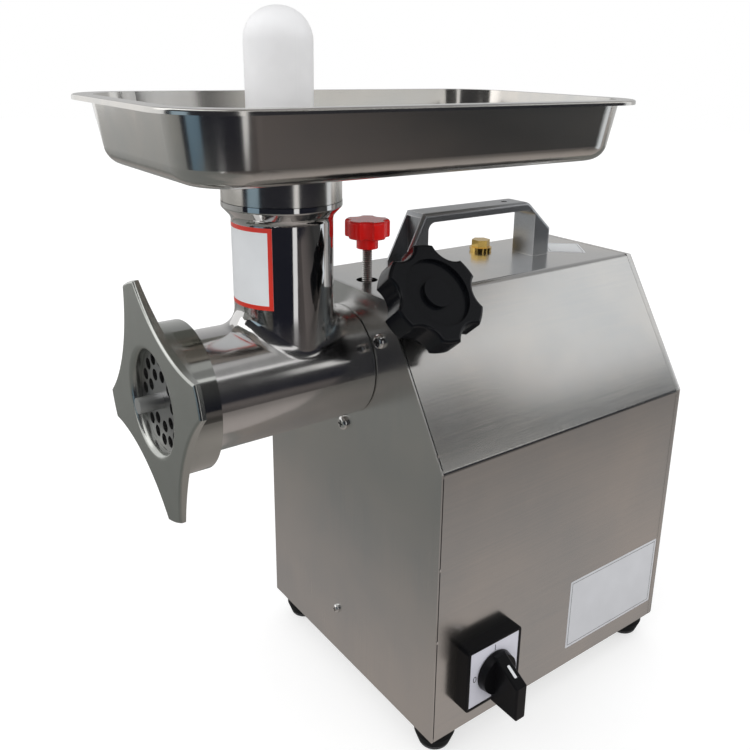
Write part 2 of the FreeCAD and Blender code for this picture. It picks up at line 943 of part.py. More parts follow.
def carry_handle():
    """A cast bridge handle whose legs are cored from outside, with a small hole through its grip."""
    body = new_body("handle_casting")
    inside_front = "handle_start + front_leg"
    inside_rear = "handle_end - rear_leg"
    under = "handle_height - handle_grip"
    outline = [
        ("handle_start", "0"),
        ("handle_start", "front_post"),
        ("handle_start + front_slope", "handle_height"),
        ("handle_end - rear_slope", "handle_height"),
        ("handle_end", "rear_post"),
        ("handle_end", "0"),
        (inside_rear, "0"),
        (inside_rear, under),
        (inside_front, under),
        (inside_front, "0"),
    ]
    bridge = pad_across(body, [corners(*outline)], "handle_width")
    front_core = box_ring("handle_start - handle_wall", "handle_base",
                          f"{inside_front} - handle_wall", f"{under} + handle_wall")
    rear_core = box_ring(f"{inside_rear} + handle_wall", "handle_base",
                         "handle_end + handle_wall", "rear_post + handle_wall")

    def outer_edge(edge):
        box = edge.BoundBox
        crown = box.ZMax > number(under) + SHORT and box.YLength > SHORT
        ends = [number("handle_start"), number("handle_end")]
        post = box.ZLength > SHORT and any(abs(box.YMin - end) < NEAR for end in ends)
        return box.XLength < NEAR and (crown or post)

    def window_corner(edge):
        box = edge.BoundBox
        return box.XLength > SHORT and abs(box.ZMax - number(under)) < NEAR and box.YLength < NEAR

    def shoulder(edge):
        box = edge.BoundBox
        top = abs(box.ZMin - number("handle_height")) < NEAR
        return box.XLength > SHORT and top and abs(box.YMin - number("handle_end - rear_slope")) < NEAR

    window = soften(body, bridge, "window_round", window_corner)
    rounded = soften(body, window, "shoulder_round", shoulder)
    soften(body, rounded, "handle_round", outer_edge)
    pocket_across(body, [front_core, rear_core], "handle_width - 2 * handle_wall")
    put(body, z="top_level")
    holes = [
        rod(f"handle_thread_{index}", "handle_screw_dia / 2", "2 * handle_base", "0", back,
            "top_level - handle_base")
        for index, back in enumerate(HANDLE_SCREWS)
    ]
    holes.append(rod("grip_hole", "grip_hole_dia / 2", "2 * handle_grip", "0",
                     "handle_start + grip_hole_front", "top_level + handle_height - 3 / 2 * handle_grip"))
    return drilled("carry_handle", body, holes)


def handle_screws():
    """Screws that come up through the top sheet into the handle's legs."""
    low = "-sheet_gauge - bolt_head_height"
    seat = "-sheet_gauge"
    top = "handle_base + bolt_head_height / 2"
    thread = "handle_screw_dia / 2"
    head = "bolt_head_dia / 2"
    points = [("0", low), (head, low), (head, seat), (thread, seat), (thread, top), ("0", top)]
    screws = [
        turned(f"handle_screw_{index}", points, UP, y=back, z="top_level")
        for index, back in enumerate(HANDLE_SCREWS)
    ]
    return group("handle_screws", screws)


def hexagon(flats):
    """A hexagon of a width across its flats."""
    return corners(*[polar(f"({flats}) / 2 / cos(30)", 60 * side) for side in range(6)])


def oil_plug():
    """The gearbox's filler plug: a hexagon on a flange."""
    body = new_body("oil_plug")
    low = "-(body_height - barrel_level - gearbox_half_width + gearbox_wall + plug_stud_reach)"
    pad(body, [circle("0", "0", "plug_stud_dia / 2")], low, f"plug_washer_thick - ({low})")
    pad(body, [circle("0", "0", "plug_flange_dia / 2")], "plug_washer_thick", "plug_flange_thick")
    pad(body, [hexagon("plug_hex")], "plug_washer_thick", "plug_height")
    return put(body, "-plug_side", "plug_back", "top_level")


def oil_plug_washer():
    """The copper washer under the plug's flange."""
    inner = "plug_stud_dia / 2 + running_play"
    outer = "plug_flange_dia / 2 - seam_gap"
    points = ring_points(inner, outer, "0", "plug_washer_thick")
    return turned("oil_plug_washer", points, UP, x="-plug_side", y="plug_back", z="top_level")


# Head socket, bearings and gearbox


def head_socket():
    """The casting behind the front panel that holds the head and the output bearing."""
    body = new_body("socket_casting")
    front = "sheet_gauge"
    tube = "socket_tube_dia / 2"
    turn_about_z(body, [
        ("spigot_dia / 2 + socket_play", front),
        ("socket_disc_dia / 2", front),
        ("socket_disc_dia / 2", f"{front} + socket_flange"),
        (tube, f"{front} + socket_flange"),
        (tube, "socket_step"),
        ("socket_rear_dia / 2", "socket_step"),
        ("socket_rear_dia / 2", "gearbox_start"),
        ("front_bearing_dia / 2", "gearbox_start"),
        ("front_bearing_dia / 2", "bearing_back"),
        ("seal_dia / 2", "bearing_back"),
        ("seal_dia / 2", "seal_back"),
        ("spigot_dia / 2 + socket_play", "seal_back"),
    ])
    lug = pad(body, [circle(*lug_sketch_place(0), "lug_dia / 2")], front, "socket_flange")
    repeat_round(body, lug, "lug_count")
    on_barrel_axis(body, REARWARD)
    reach = "socket_tube_dia"
    holes = [
        rod("red_thread", "red_stud_dia / 2 + running_play", reach, "0", "clamp_back", "axis_level"),
        rod("black_thread", "black_stud_dia / 2 + running_play", reach, *black_place("0"),
            black_rotation()),
    ]
    for turn in range(int(number("lug_count"))):
        side, rise = lug_place(turn)
        holes.append(rod(f"lug_hole_{turn}", "front_screw_dia / 2", "2 * socket_flange", side, "0",
                         f"axis_level + {rise}", REARWARD))
    return drilled("head_socket", body, holes)


def lug_sketch_place(turn):
    """A lug's place in the socket's own sketch, whose upright points down."""
    side, rise = lug_place(turn)
    return side, f"-({rise})"


def oil_seal():
    """The lip seal in front of the output bearing."""
    points = ring_points("nose_dia / 2 + running_play", "seal_dia / 2", "seal_back", "seal_width")
    return turned("oil_seal", points, REARWARD, z="axis_level")


def bearing(label, bore, outside, start, width, level):
    """A ball bearing as a node of one ring, with room for its shaft to turn."""
    points = ring_points(f"{bore} / 2 + running_play", f"{outside} / 2", start, width)
    return node(turned(label, points, REARWARD, z=level), label)


def gearbox_outline(inset):
    """The gearbox seen along the shafts, with the output axis at the sketch's centre."""
    half = f"gearbox_half_width - ({inset})"
    low = f"gearbox_drop - ({inset})"
    return rounded_box(f"-({half})", f"-({half})", half, low, f"gearbox_corner - ({inset})")


def gearbox_lugs():
    """Places of the four bolt lugs, as sideways and downward formulas."""
    return [(side, drop) for side in ("-gearbox_lug_side", "gearbox_lug_side")
            for drop in ("gearbox_lug_high", "gearbox_lug_low")]


def lug_rings():
    """One circle for each bolt lug of the gearbox."""
    return [circle(side, drop, "gearbox_lug_dia / 2") for side, drop in gearbox_lugs()]


def gearbox_housing():
    """The gearbox casting, open at the rear, with seats for the idler and the shafts to pass."""
    body = new_body("gearbox_casting")
    pad(body, [gearbox_outline("0")], "gearbox_start", "cavity_end - gearbox_start")
    for ring in lug_rings():
        pad(body, [ring], "cavity_end - gearbox_lug_thick", "gearbox_lug_thick")
    pocket(body, [gearbox_outline("gearbox_wall")], "cavity_end", "cavity_end - cavity_start")
    pinion_tip = "fine_module * (motor_teeth / 2 + 1)"
    face = [circle("0", "0", "shaft_dia / 2 + shaft_passage"),
            circle("0", "idler_drop", "small_bearing_dia / 2"),
            circle("0", "motor_drop", f"{pinion_tip} + pinion_passage")]
    pocket(body, face, "cavity_start", "gearbox_face")
    for side, drop in gearbox_lugs():
        pocket(body, [circle(side, drop, "gearbox_bolt_dia / 2")], "cavity_end", "gearbox_lug_thick")
    on_barrel_axis(body, REARWARD)
    hole = rod("plug_thread", "plug_stud_dia / 2", "gearbox_half_width", "-plug_side", "plug_back",
               "axis_level")
    return drilled("gearbox_housing", body, [hole])


def gearbox_cover():
    """The lid behind the gears, with blind seats for the rear bearings."""
    body = new_body("gearbox_cover")
    pad(body, [gearbox_outline("0")], "cavity_end", "gearbox_lid")
    for ring in lug_rings():
        pad(body, [ring], "cavity_end", "gearbox_lid")
    pocket(body, [circle("0", "0", "rear_bearing_dia / 2")], "cavity_end + rear_bearing_width",
           "rear_bearing_width")
    pocket(body, [circle("0", "idler_drop", "small_bearing_dia / 2")], "cavity_end + small_bearing_width",
           "small_bearing_width")
    for side, drop in gearbox_lugs():
        pocket(body, [circle(side, drop, "gearbox_bolt_dia / 2")], "lid_end", "gearbox_lid")
    return on_barrel_axis(body, REARWARD)


def gearbox_bolts():
    """Hexagon bolts through the lugs of the lid and the casting."""
    bolts = []
    for index, (side, drop) in enumerate(gearbox_lugs()):
        body = new_body(f"gearbox_bolt_{index}")
        pad(body, [circle("0", "0", "gearbox_bolt_dia / 2")], "cavity_end - gearbox_lug_thick",
            "gearbox_lug_thick + gearbox_lid")
        pad(body, [hexagon("bolt_head_dia")], "lid_end", "bolt_head_height")
        bolts.append(put(body, side, "0", f"axis_level - ({drop})", REARWARD))
    return group("gearbox_bolts", bolts)


# Gear train

# Depth of a tooth below the pitch circle, in modules, and the steps along a flank
DEDENDUM = 1.25
FLANK_STEPS = 4
# A sketch upright points down along the shafts, so a quarter turn is straight down
DOWN = math.pi / 2


def tooth_points(module, teeth):
    """Half of one tooth's outline as (radius, half angle) pairs, on an involute of the base circle."""
    pitch = module * teeth / 2
    base = pitch * math.cos(math.radians(number("pressure_angle")))
    root = pitch - DEDENDUM * module
    tip = pitch + module
    spread = math.tan(math.radians(number("pressure_angle"))) - math.radians(number("pressure_angle"))
    half = math.pi / (2 * teeth) - number("gear_play") / (2 * pitch)
    points = [(root, half + spread)]
    low = max(base, root + 0.1 * module)
    for step in range(FLANK_STEPS + 1):
        radius = low + (tip - low) * step / FLANK_STEPS
        roll = math.sqrt(max((radius / base) ** 2 - 1, 0))
        points.append((radius, half + spread - (roll - math.atan(roll))))
    return points


def gear_prism(module, teeth, start, face, first_tooth):
    """A spur gear's toothed solid, with one tooth centred on an angle."""
    near_side = [(radius, -half) for radius, half in tooth_points(module, teeth)]
    far_side = [(radius, -turn) for radius, turn in reversed(near_side)]
    outline = []
    for tooth in range(teeth):
        middle = first_tooth + 2 * math.pi * tooth / teeth
        for radius, turn in near_side + far_side:
            across = radius * math.cos(middle + turn)
            aside = radius * math.sin(middle + turn)
            outline.append(FreeCAD.Vector(across, aside, start))
    toothed = Part.Face(Part.makePolygon(outline + outline[:1]))
    return toothed.extrude(FreeCAD.Vector(0, 0, face))


def gear_wheel(label, module, teeth, start, face, bore, first_tooth):
    """A gear with a plain bore, as a part of its own."""
    wheel = gear_prism(number(module), int(number(teeth)), number(start), number(face), first_tooth)
    hole = Part.makeCylinder(number(bore) / 2, number(face), FreeCAD.Vector(0, 0, number(start)))
    made = doc.addObject("Part::Feature", label)
    made.Shape = wheel.cut(hole)
    return made


def shaft_with_teeth(label, points, module, teeth, start, face, first_tooth):
    """A turned shaft with a pinion cut on it."""
    shaft = new_body(label + "_blank")
    turn_about_z(shaft, points)
    pinion = doc.addObject("Part::Feature", label + "_teeth")
    pinion.Shape = gear_prism(number(module), int(number(teeth)), number(start), number(face), first_tooth)
    made = doc.addObject("Part::Fuse", label)
    made.Base = shaft
    made.Tool = pinion
    return made


def half_tooth(teeth):
    """Half of the angle from one tooth to the next."""
    return math.pi / number(teeth)


def output_shaft():
    """The slow shaft, with a square socket in its nose for the auger."""
    body = new_body("output_shaft")
    end = "cavity_end + rear_bearing_width - shaft_end_gap"
    turn_about_z(body, [
        ("0", "nose_back"),
        ("nose_dia / 2", "nose_back"),
        ("nose_dia / 2", "bearing_back"),
        ("shaft_dia / 2", "bearing_back"),
        ("shaft_dia / 2", "cavity_end"),
        ("rear_journal_dia / 2", "cavity_end"),
        ("rear_journal_dia / 2", end),
        ("0", end),
    ])
    depth = "web_back + tang_length + tang_play - nose_back"
    pocket(body, [square("tang_square + 2 * seam_gap")], f"nose_back + {depth}", depth)
    return on_barrel_axis(body, REARWARD)


def output_gear():
    """The slow gear on the output shaft."""
    wheel = gear_wheel("output_gear", "gear_module", "output_teeth", "slow_start", "slow_face", "shaft_dia",
                       DOWN)
    return on_barrel_axis(wheel, REARWARD)


def idler_shaft():
    """The middle shaft with the slow pinion cut on it."""
    journal = "small_journal_dia / 2"
    thick = "idler_shaft_dia / 2"
    start = "gearbox_start + shaft_end_gap"
    end = "cavity_end + small_bearing_width - shaft_end_gap"
    points = [
        ("0", start),
        (journal, start),
        (journal, "cavity_start + seam_gap"),
        (thick, "cavity_start + seam_gap"),
        (thick, "cavity_end - seam_gap"),
        (journal, "cavity_end - seam_gap"),
        (journal, end),
        ("0", end),
    ]
    shaft = shaft_with_teeth("idler_shaft", points, "gear_module", "idler_pinion_teeth", "slow_start",
                             "slow_face", -DOWN + half_tooth("idler_pinion_teeth"))
    return put(shaft, z="axis_level - idler_drop", rotation=REARWARD)


def idler_gear():
    """The fast gear on the middle shaft."""
    wheel = gear_wheel("idler_gear", "fine_module", "idler_teeth", "fast_start", "fast_face",
                       "idler_shaft_dia", DOWN)
    return put(wheel, z="axis_level - idler_drop", rotation=REARWARD)


def motor_shaft():
    """The motor's shaft, from the fan to the pinion cut on its end."""
    journal = "small_journal_dia / 2"
    end = "fast_start + fast_face + shaft_end_gap"
    points = [("0", "fan_start"), (journal, "fan_start"), (journal, end), ("0", end)]
    shaft = shaft_with_teeth("motor_shaft", points, "fine_module", "motor_teeth", "fast_start", "fast_face",
                             -DOWN + half_tooth("motor_teeth"))
    return put(shaft, z="motor_level", rotation=REARWARD)


# Motor


def motor_bell(label, outer_wall, joint, neck_end):
    """One end bell of the motor: an end wall, a rim towards the stator and a bearing seat."""
    body = new_body(label)
    inward = "1" if number(joint) > number(outer_wall) else "-1"
    inner_wall = f"{outer_wall} + {inward} * bell_wall"
    seat_end = f"{inner_wall} + {inward} * small_bearing_width"
    passage = "small_journal_dia / 2 + bell_passage"
    seat = "small_bearing_dia / 2"
    points = [
        (passage, neck_end),
        ("bell_neck_dia / 2", neck_end),
        ("bell_neck_dia / 2", outer_wall),
        ("motor_dia / 2", outer_wall),
        ("motor_dia / 2", joint),
        ("motor_dia / 2 - bell_wall", joint),
        ("motor_dia / 2 - bell_wall", inner_wall),
        (f"{seat} + bell_boss_wall", inner_wall),
        (f"{seat} + bell_boss_wall", seat_end),
        (seat, seat_end),
        (seat, inner_wall),
        (passage, inner_wall),
    ]
    if neck_end == outer_wall:
        del points[1:3]
    turn_about_z(body, points)
    return put(body, z="motor_level", rotation=REARWARD)


def motor_stator():
    """The stack of laminations that the bells clamp."""
    points = ring_points("stator_bore / 2", "motor_dia / 2", "stator_start", "stator_length")
    return turned("motor_stator", points, REARWARD, z="motor_level")


def motor_windings():
    """The two rings of end windings."""
    rings = []
    for name, start in (("front", "stator_start - coil_length"), ("rear", "stator_end")):
        points = ring_points("coil_inner_dia / 2", "coil_outer_dia / 2", start, "coil_length")
        rings.append(turned(f"winding_{name}", points, REARWARD, z="motor_level"))
    return group("motor_windings", rings)


def rotor_core():
    """The rotor's stack on the motor shaft."""
    start = "(stator_start + stator_end - rotor_length) / 2"
    points = ring_points("small_journal_dia / 2", "stator_bore / 2 - air_gap", start, "rotor_length")
    return turned("rotor_core", points, REARWARD, z="motor_level")


def cooling_fan():
    """A fan of flat blades round a hub."""
    body = new_body("cooling_fan")
    pad(body, [circle("0", "0", "fan_hub_dia / 2")], "fan_start", "fan_width")
    half = "fan_blade_thick / 2"
    outline = box_ring("fan_hub_dia / 2 - fan_blade_thick", f"-{half}", "fan_dia / 2", half)
    blade = pad(body, [outline], "fan_start", "fan_width")
    repeat_round(body, blade, "fan_blades")
    pocket(body, [circle("0", "0", "small_journal_dia / 2")], "fan_start + fan_width", "fan_width")
    return put(body, z="motor_level", rotation=REARWARD)


def motor_saddle():
    """The block that carries the motor on the base sheet."""
    rise = "motor_level - foot_height - base_gauge - motor_dia / 2 + saddle_rise"
    back = "(stator_start + stator_end - saddle_thick) / 2"
    blank = block("saddle_blank", "saddle_width", "saddle_thick", rise, "-saddle_width / 2", back,
                  "foot_height + base_gauge")
    hollow = rod("saddle_hollow", "motor_dia / 2", "saddle_thick", "0", back, "motor_level", REARWARD)
    return drilled("motor_saddle", blank, [hollow])


# Electrics


def start_capacitor():
    """The motor's capacitor can."""
    body = new_body("start_capacitor")
    can = pad(body, [circle("0", "0", "capacitor_dia / 2")], "0", "capacitor_length")
    soften(body, can, "capacitor_round", level_edge("capacitor_length"))
    return put(body, "-capacitor_side", "capacitor_back", "capacitor_height", REARWARD)


def capacitor_clip():
    """The strap that holds the capacitor to the base sheet."""
    body = new_body("capacitor_clip")
    floor = "capacitor_dia / 2 + capacitor_rise"
    strap = "capacitor_dia / 2 + clip_thick"
    pad(body, [circle("0", "0", strap)], "0", "clip_width")
    pad(body, [box_ring("-clip_foot", f"{floor} - clip_thick", "clip_foot", floor)], "0", "clip_width")
    pad(body, [box_ring("-clip_thick", "capacitor_dia / 2", "clip_thick", floor)], "0", "clip_width")
    pocket(body, [circle("0", "0", "capacitor_dia / 2")], "clip_width", "clip_width")
    middle = "capacitor_back + (capacitor_length - clip_width) / 2"
    return put(body, "-capacitor_side", middle, "capacitor_height", REARWARD)


def terminal_block():
    """The block where the cord's wires end, with a row of screw wells."""
    body = new_body("terminal_block")
    half_length = "terminal_length / 2"
    half_width = "terminal_width / 2"
    outline = box_ring(f"-{half_length}", f"-{half_width}", half_length, half_width)
    pad(body, [outline], "0", "terminal_height")
    pitch = "terminal_length / terminal_ways"
    for way in range(int(number("terminal_ways"))):
        well = circle(f"({way} + 0.5) * {pitch} - {half_length}", "0", "terminal_well_dia / 2")
        pocket(body, [well], "terminal_height", "terminal_height / 2")
    return put(body, "-terminal_side", "terminal_back", "foot_height + base_gauge")


def cord_gland():
    """The gland in the rear panel that the cord would leave by."""
    body = new_body("cord_gland")
    bore = "gland_bore / 2"
    nose = "gland_dia / 2 - gland_taper"
    shape = turn_about_z(body, [
        (bore, "-gland_stem"),
        ("gland_stem_dia / 2", "-gland_stem"),
        ("gland_stem_dia / 2", "0"),
        ("gland_dia / 2", "0"),
        ("gland_dia / 2", "gland_collar"),
        (nose, "gland_reach"),
        (bore, "gland_reach"),
    ])
    soften(body, shape, "gland_round", level_edge("gland_reach", nose))
    return put(body, "-gland_side", "body_length", "gland_height", REARWARD)


def gland_nut():
    """The nut that holds the gland from inside."""
    body = new_body("gland_nut")
    pad(body, [hexagon("gland_nut_dia"), circle("0", "0", "gland_stem_dia / 2")], "0", "gland_nut_thick")
    return put(body, "-gland_side", "body_length - sheet_gauge - gland_nut_thick", "gland_height", REARWARD)


# Switch


def on_switch_axis(part):
    """Place a part on the switch's axis, measured out from the right side of the casing."""
    return put(part, "body_half", "switch_back", "foot_height + switch_level", RIGHT)


def switch_box():
    """The switch's contact box inside the casing, with a neck through the sheet."""
    body = new_body("switch_box")
    pad(body, [square("switch_box")], "-sheet_gauge - switch_box_depth", "switch_box_depth")
    pad(body, [circle("0", "0", "switch_neck_dia / 2")], "-sheet_gauge", "sheet_gauge")
    pocket(body, [circle("0", "0", "spindle_dia / 2 + running_play")], "0", "switch_box_depth / 2")
    return on_switch_axis(body)


def switch_plate():
    """The square frame on the casing, with a recess for the dial."""
    body = new_body("switch_plate")
    half = "switch_plate / 2"
    outline = rounded_box(f"-{half}", f"-{half}", half, half, "switch_corner")
    frame = pad(body, [outline], "0", "switch_depth")
    soften(body, frame, "switch_edge_round", level_edge("switch_depth"))
    pocket(body, [square("switch_plate - 2 * switch_border")], "switch_depth", "dial_recess")
    pocket(body, [circle("0", "0", "spindle_dia / 2 + running_play")], "switch_depth", "switch_depth")
    return on_switch_axis(body)


def switch_dial():
    """The dial plate in the frame's recess."""
    body = new_body("switch_dial")
    side = "switch_plate - 2 * switch_border - 2 * seam_gap"
    hole = circle("0", "0", "spindle_dia / 2 + running_play")
    pad(body, [square(side), hole], "switch_depth - dial_recess", "dial_thick")
    return on_switch_axis(body)


def switch_knob():
    """The switch's knob: a round base, a tapered grip bar and a spindle."""
    body = new_body("switch_knob")
    start = "switch_depth + seam_gap"
    top = "switch_depth + knob_reach"
    turn_about_z(body, [
        ("0", "-switch_box_depth / 2 + sheet_gauge"),
        ("spindle_dia / 2", "-switch_box_depth / 2 + sheet_gauge"),
        ("spindle_dia / 2", start),
        ("knob_base_dia / 2", start),
        ("knob_base_dia / 2 - knob_base_taper", f"{start} + knob_base_height"),
        ("0", f"{start} + knob_base_height"),
    ])
    low = f"{start} + knob_base_height / 2"
    shoulder = f"{start} + knob_base_height"
    bar = pad_sideways(body, [corners(
        ("-knob_nose", low),
        ("-knob_nose", shoulder),
        ("-knob_shoulder", top),
        ("knob_tail", top),
        ("knob_tail", low),
    )], "knob_bar_width")

    def grip_edge(edge):
        box = edge.BoundBox
        straight = not hasattr(edge.Curve, "Radius")
        return straight and box.YLength < NEAR and box.ZMax > number(shoulder) + SHORT

    soften(body, bar, "knob_bar_round", grip_edge)
    return on_switch_axis(body)


# Clamp screws


def black_place(radius):
    """A place on the black clamp's axis at a radius from the barrel's axis."""
    side, rise = polar(radius, "black_angle")
    return side, "clamp_back", f"axis_level + {rise}"


def black_rotation():
    """The turn that points a body's Z axis out along the black clamp."""
    return FreeCAD.Rotation(FreeCAD.Vector(0, 1, 0), 90 - number("black_angle"))


def lobed_knob(label, size, hub, lobes, lobe_turn, hub_depth, depth, rim_round, bore):
    """A star knob on a hub, hollowed round the rim and bored for its stud."""
    body = new_body(label)
    whole = f"{hub_depth} + {depth}"
    pad(body, [circle("0", "0", f"{hub} / 2")], "0", hub_depth)
    pad(body, [circle("0", "0", f"{size} / 2")], hub_depth, depth)
    scallop_centre = polar(f"{size} * scallop_reach_share", f"180 / {lobes} + {lobe_turn}")
    bite = pocket(body, [circle(*scallop_centre, f"{size} * scallop_share")], whole, depth)
    star = repeat_round(body, bite, lobes)
    at_face = level_edge(whole)
    at_back = level_edge(hub_depth)

    def rim_edge(edge):
        return at_face(edge) or at_back(edge) and not small_round(edge, f"{hub} / 2")

    soften(body, star, rim_round, rim_edge)
    bottom = f"{whole} - knob_skin"
    pocket(body, [circle("0", "0", f"{bore} / 2 + running_play")], bottom, bottom)
    return body


def small_round(edge, radius):
    """True for a round edge of about a radius."""
    return hasattr(edge.Curve, "Radius") and abs(edge.Curve.Radius - number(radius)) < NEAR


def black_knob():
    """The large star knob, with a dished face round a boss."""
    body = lobed_knob("black_knob", "black_knob_dia", "black_hub_dia", "black_lobes", "black_lobe_turn",
                      "black_hub_depth", "black_knob_depth", "black_rim_round", "black_stud_dia")
    whole = "black_hub_depth + black_knob_depth"
    dish = [circle("0", "0", "black_dish_dia / 2"), circle("0", "0", "black_boss_dia / 2")]
    pocket(body, dish, whole, "black_dish_depth")
    return put(body, *black_place("black_back_radius"), black_rotation())


def black_stud():
    """The stud of the black clamp, which presses on the head's spigot."""
    start = "spigot_dia / 2 + tip_gap"
    length = f"black_face_radius - knob_skin - running_play - ({start})"
    return rod("black_stud", "black_stud_dia / 2", length, *black_place(start), black_rotation())


def red_knob():
    """The small star knob over the top plate."""
    body = lobed_knob("red_knob", "red_knob_dia", "red_hub_dia", "red_lobes", "red_lobe_turn",
                      "red_hub_height", "red_knob_height", "red_rim_round", "red_stud_dia")
    return put(body, "0", "clamp_back", "foot_height + red_hub_level")


def red_stud():
    """The stud of the red clamp, which stands through the top plate."""
    start = "barrel_level + spigot_dia / 2 + tip_gap"
    end = "red_hub_level + red_hub_height + red_knob_height - knob_skin - running_play"
    length = f"{end} - ({start})"
    return rod("red_stud", "red_stud_dia / 2", length, "0", "clamp_back", f"foot_height + {start}")


# Grinder head


def neck_edge(height, radius):
    """A test for round edges about the neck's axis, at a height over the barrel's axis."""
    wanted_height = number(height)
    wanted_radius = number(radius)

    def wanted(edge):
        if not hasattr(edge.Curve, "Radius"):
            return False
        at_height = abs(edge.Curve.Center.y - wanted_height) < NEAR
        return at_height and abs(edge.Curve.Radius - wanted_radius) < NEAR

    return wanted


def grinder_head():
    """The cast head: barrel, spigot and feed neck, bored for the auger and the plate."""
    body = new_body("head_casting")
    barrel = turn_about_z(body, [
        ("0", "-spigot_length"),
        ("spigot_dia / 2", "-spigot_length"),
        ("spigot_dia / 2", "seam_gap"),
        ("barrel_dia / 2", "seam_gap"),
        ("barrel_dia / 2", "thread_start"),
        ("thread_dia / 2", "thread_start"),
        ("thread_dia / 2", "head_front"),
        ("0", "head_front"),
    ])
    soften(body, barrel, "barrel_end_round", level_edge("seam_gap", "barrel_dia / 2"))
    bead_low = "neck_rise - bead_height"
    neck = turn_about_neck(body, [
        ("0", "0"),
        ("0", "neck_dia / 2"),
        (f"{bead_low} - bead_taper", "neck_dia / 2"),
        (bead_low, "bead_dia / 2"),
        ("neck_rise", "bead_dia / 2"),
        ("neck_rise", "0"),
    ])

    def saddle_curve(edge):
        return edge.Curve.TypeId == "Part::GeomBSplineCurve"

    saddle = soften(body, neck, "neck_blend", saddle_curve)
    taper = soften(body, saddle, "bead_blend", neck_edge(f"{bead_low} - bead_taper", "neck_dia / 2"))
    soften(body, taper, "bead_round", neck_edge(bead_low, "bead_dia / 2"))
    turn_about_z(body, [
        ("0", "-spigot_length"),
        ("spigot_recess_dia / 2", "-spigot_length"),
        ("spigot_recess_dia / 2", "-web_back"),
        ("journal_dia / 2", "-web_back"),
        ("journal_dia / 2", "web_front"),
        ("barrel_bore / 2", "web_front"),
        ("barrel_bore / 2", "seat_forward"),
        ("plate_dia / 2 + plate_play", "seat_forward"),
        ("plate_dia / 2 + plate_play", "head_front"),
        ("0", "head_front"),
    ], "Groove")
    throat = "throat_dia / 2"
    turn_about_neck(body, [("0", "0"), ("0", throat), ("neck_rise", throat), ("neck_rise", "0")], "Groove")
    on_barrel_axis(body)
    hole = rod("key_hole", "plate_key_dia / 2", "thread_dia / 2", "0", "key_place", "key_low")
    return drilled("grinder_head", body, [hole])


def plate_key():
    """The pin in the head's mouth that keeps the grinding plate from turning."""
    length = "key_depth + plate_key_dia / 2"
    return rod("plate_key", "plate_key_dia / 2", length, "0", "key_place", "key_low")


def auger():
    """The feed screw: tang, journal, thrust flange, tapered core with a flight, and the pin."""
    body = new_body("auger")
    journal = "journal_dia / 2 - running_play"
    turn_about_z(body, [
        ("0", "-web_back"),
        (journal, "-web_back"),
        (journal, "washer_front"),
        ("thrust_dia / 2", "washer_front"),
        ("thrust_dia / 2", "thrust_front"),
        ("core_back_dia / 2", "thrust_front"),
        ("core_front_dia / 2", "shoulder_forward"),
        ("pin_dia / 2", "shoulder_forward"),
        ("pin_dia / 2", "pin_reach"),
        ("0", "pin_reach"),
    ])
    pad(body, [square("tang_square")], "-web_back - tang_length", "tang_length")
    pad(body, [square("knife_square")], "shoulder_forward", "knife_thick")
    root = "core_back_dia / 2 - flight_root / 2"
    profile = drawn(body, "XZ_Plane", [corners(
        (root, "-flight_root / 2"),
        ("flight_radius", "-flight_tip / 2"),
        ("flight_radius", "flight_tip / 2"),
        (root, "flight_root / 2"),
    )], shift="thrust_front + flight_root / 2")
    flight = feature(body, "AdditiveHelix", profile)
    flight.ReferenceAxis = (profile, ["V_Axis"])
    flight.Mode = "pitch-height-angle"
    flight.setExpression("Pitch", formula("flight_pitch"))
    flight.setExpression("Height", formula("shoulder_forward - thrust_front - flight_root"))
    return on_barrel_axis(body)


def thrust_washer():
    """The fibre washer behind the auger's thrust flange."""
    start = "web_front + running_play"
    points = ring_points("journal_dia / 2 + running_play", "thrust_dia / 2", start, "washer_thick")
    return turned("thrust_washer", points, FORWARD, z="axis_level")


def knife():
    """The cross knife on the auger's square, with four swept blades."""
    body = new_body("knife")
    start = "shoulder_forward + running_play"
    half = "knife_blade_width / 2"
    pad(body, [circle("0", "0", "knife_hub_dia / 2")], start, "knife_thick")
    blade = pad(body, [corners(
        ("knife_hub_dia / 4", f"-{half}"),
        ("knife_span / 2 - knife_tip_cut", "-knife_tip_trail"),
        ("knife_span / 2", "knife_tip_lead"),
        ("knife_hub_dia / 4", half),
    )], start, "knife_thick")
    repeat_round(body, blade, "knife_blades")
    pocket(body, [square("knife_square + 2 * running_play")], f"{start} + knife_thick", "knife_thick")
    return on_barrel_axis(body)


def grinding_plate():
    """The hole plate in the head's mouth, with two rings of holes and a key notch."""
    body = new_body("plate_disc")
    top = "plate_front"
    disc = [circle("0", "0", "plate_dia / 2"), circle("0", "0", "pin_dia / 2 + running_play")]
    pad(body, disc, "seat_forward", "plate_thick")
    for ring, count in (("outer_hole_ring", "outer_hole_count"), ("inner_hole_ring", "inner_hole_count")):
        hole = pocket(body, [circle(*polar(ring, "0"), "plate_hole_dia / 2")], top, "plate_thick")
        repeat_round(body, hole, count)
    notch = "plate_key_dia / 2 + plate_play"
    pocket(body, [box_ring(f"-({notch})", "-plate_dia / 2 - plate_key_dia", notch,
                           "-plate_dia / 2 + plate_key_dia / 2 + plate_play")], top, "plate_thick")
    return on_barrel_axis(body)


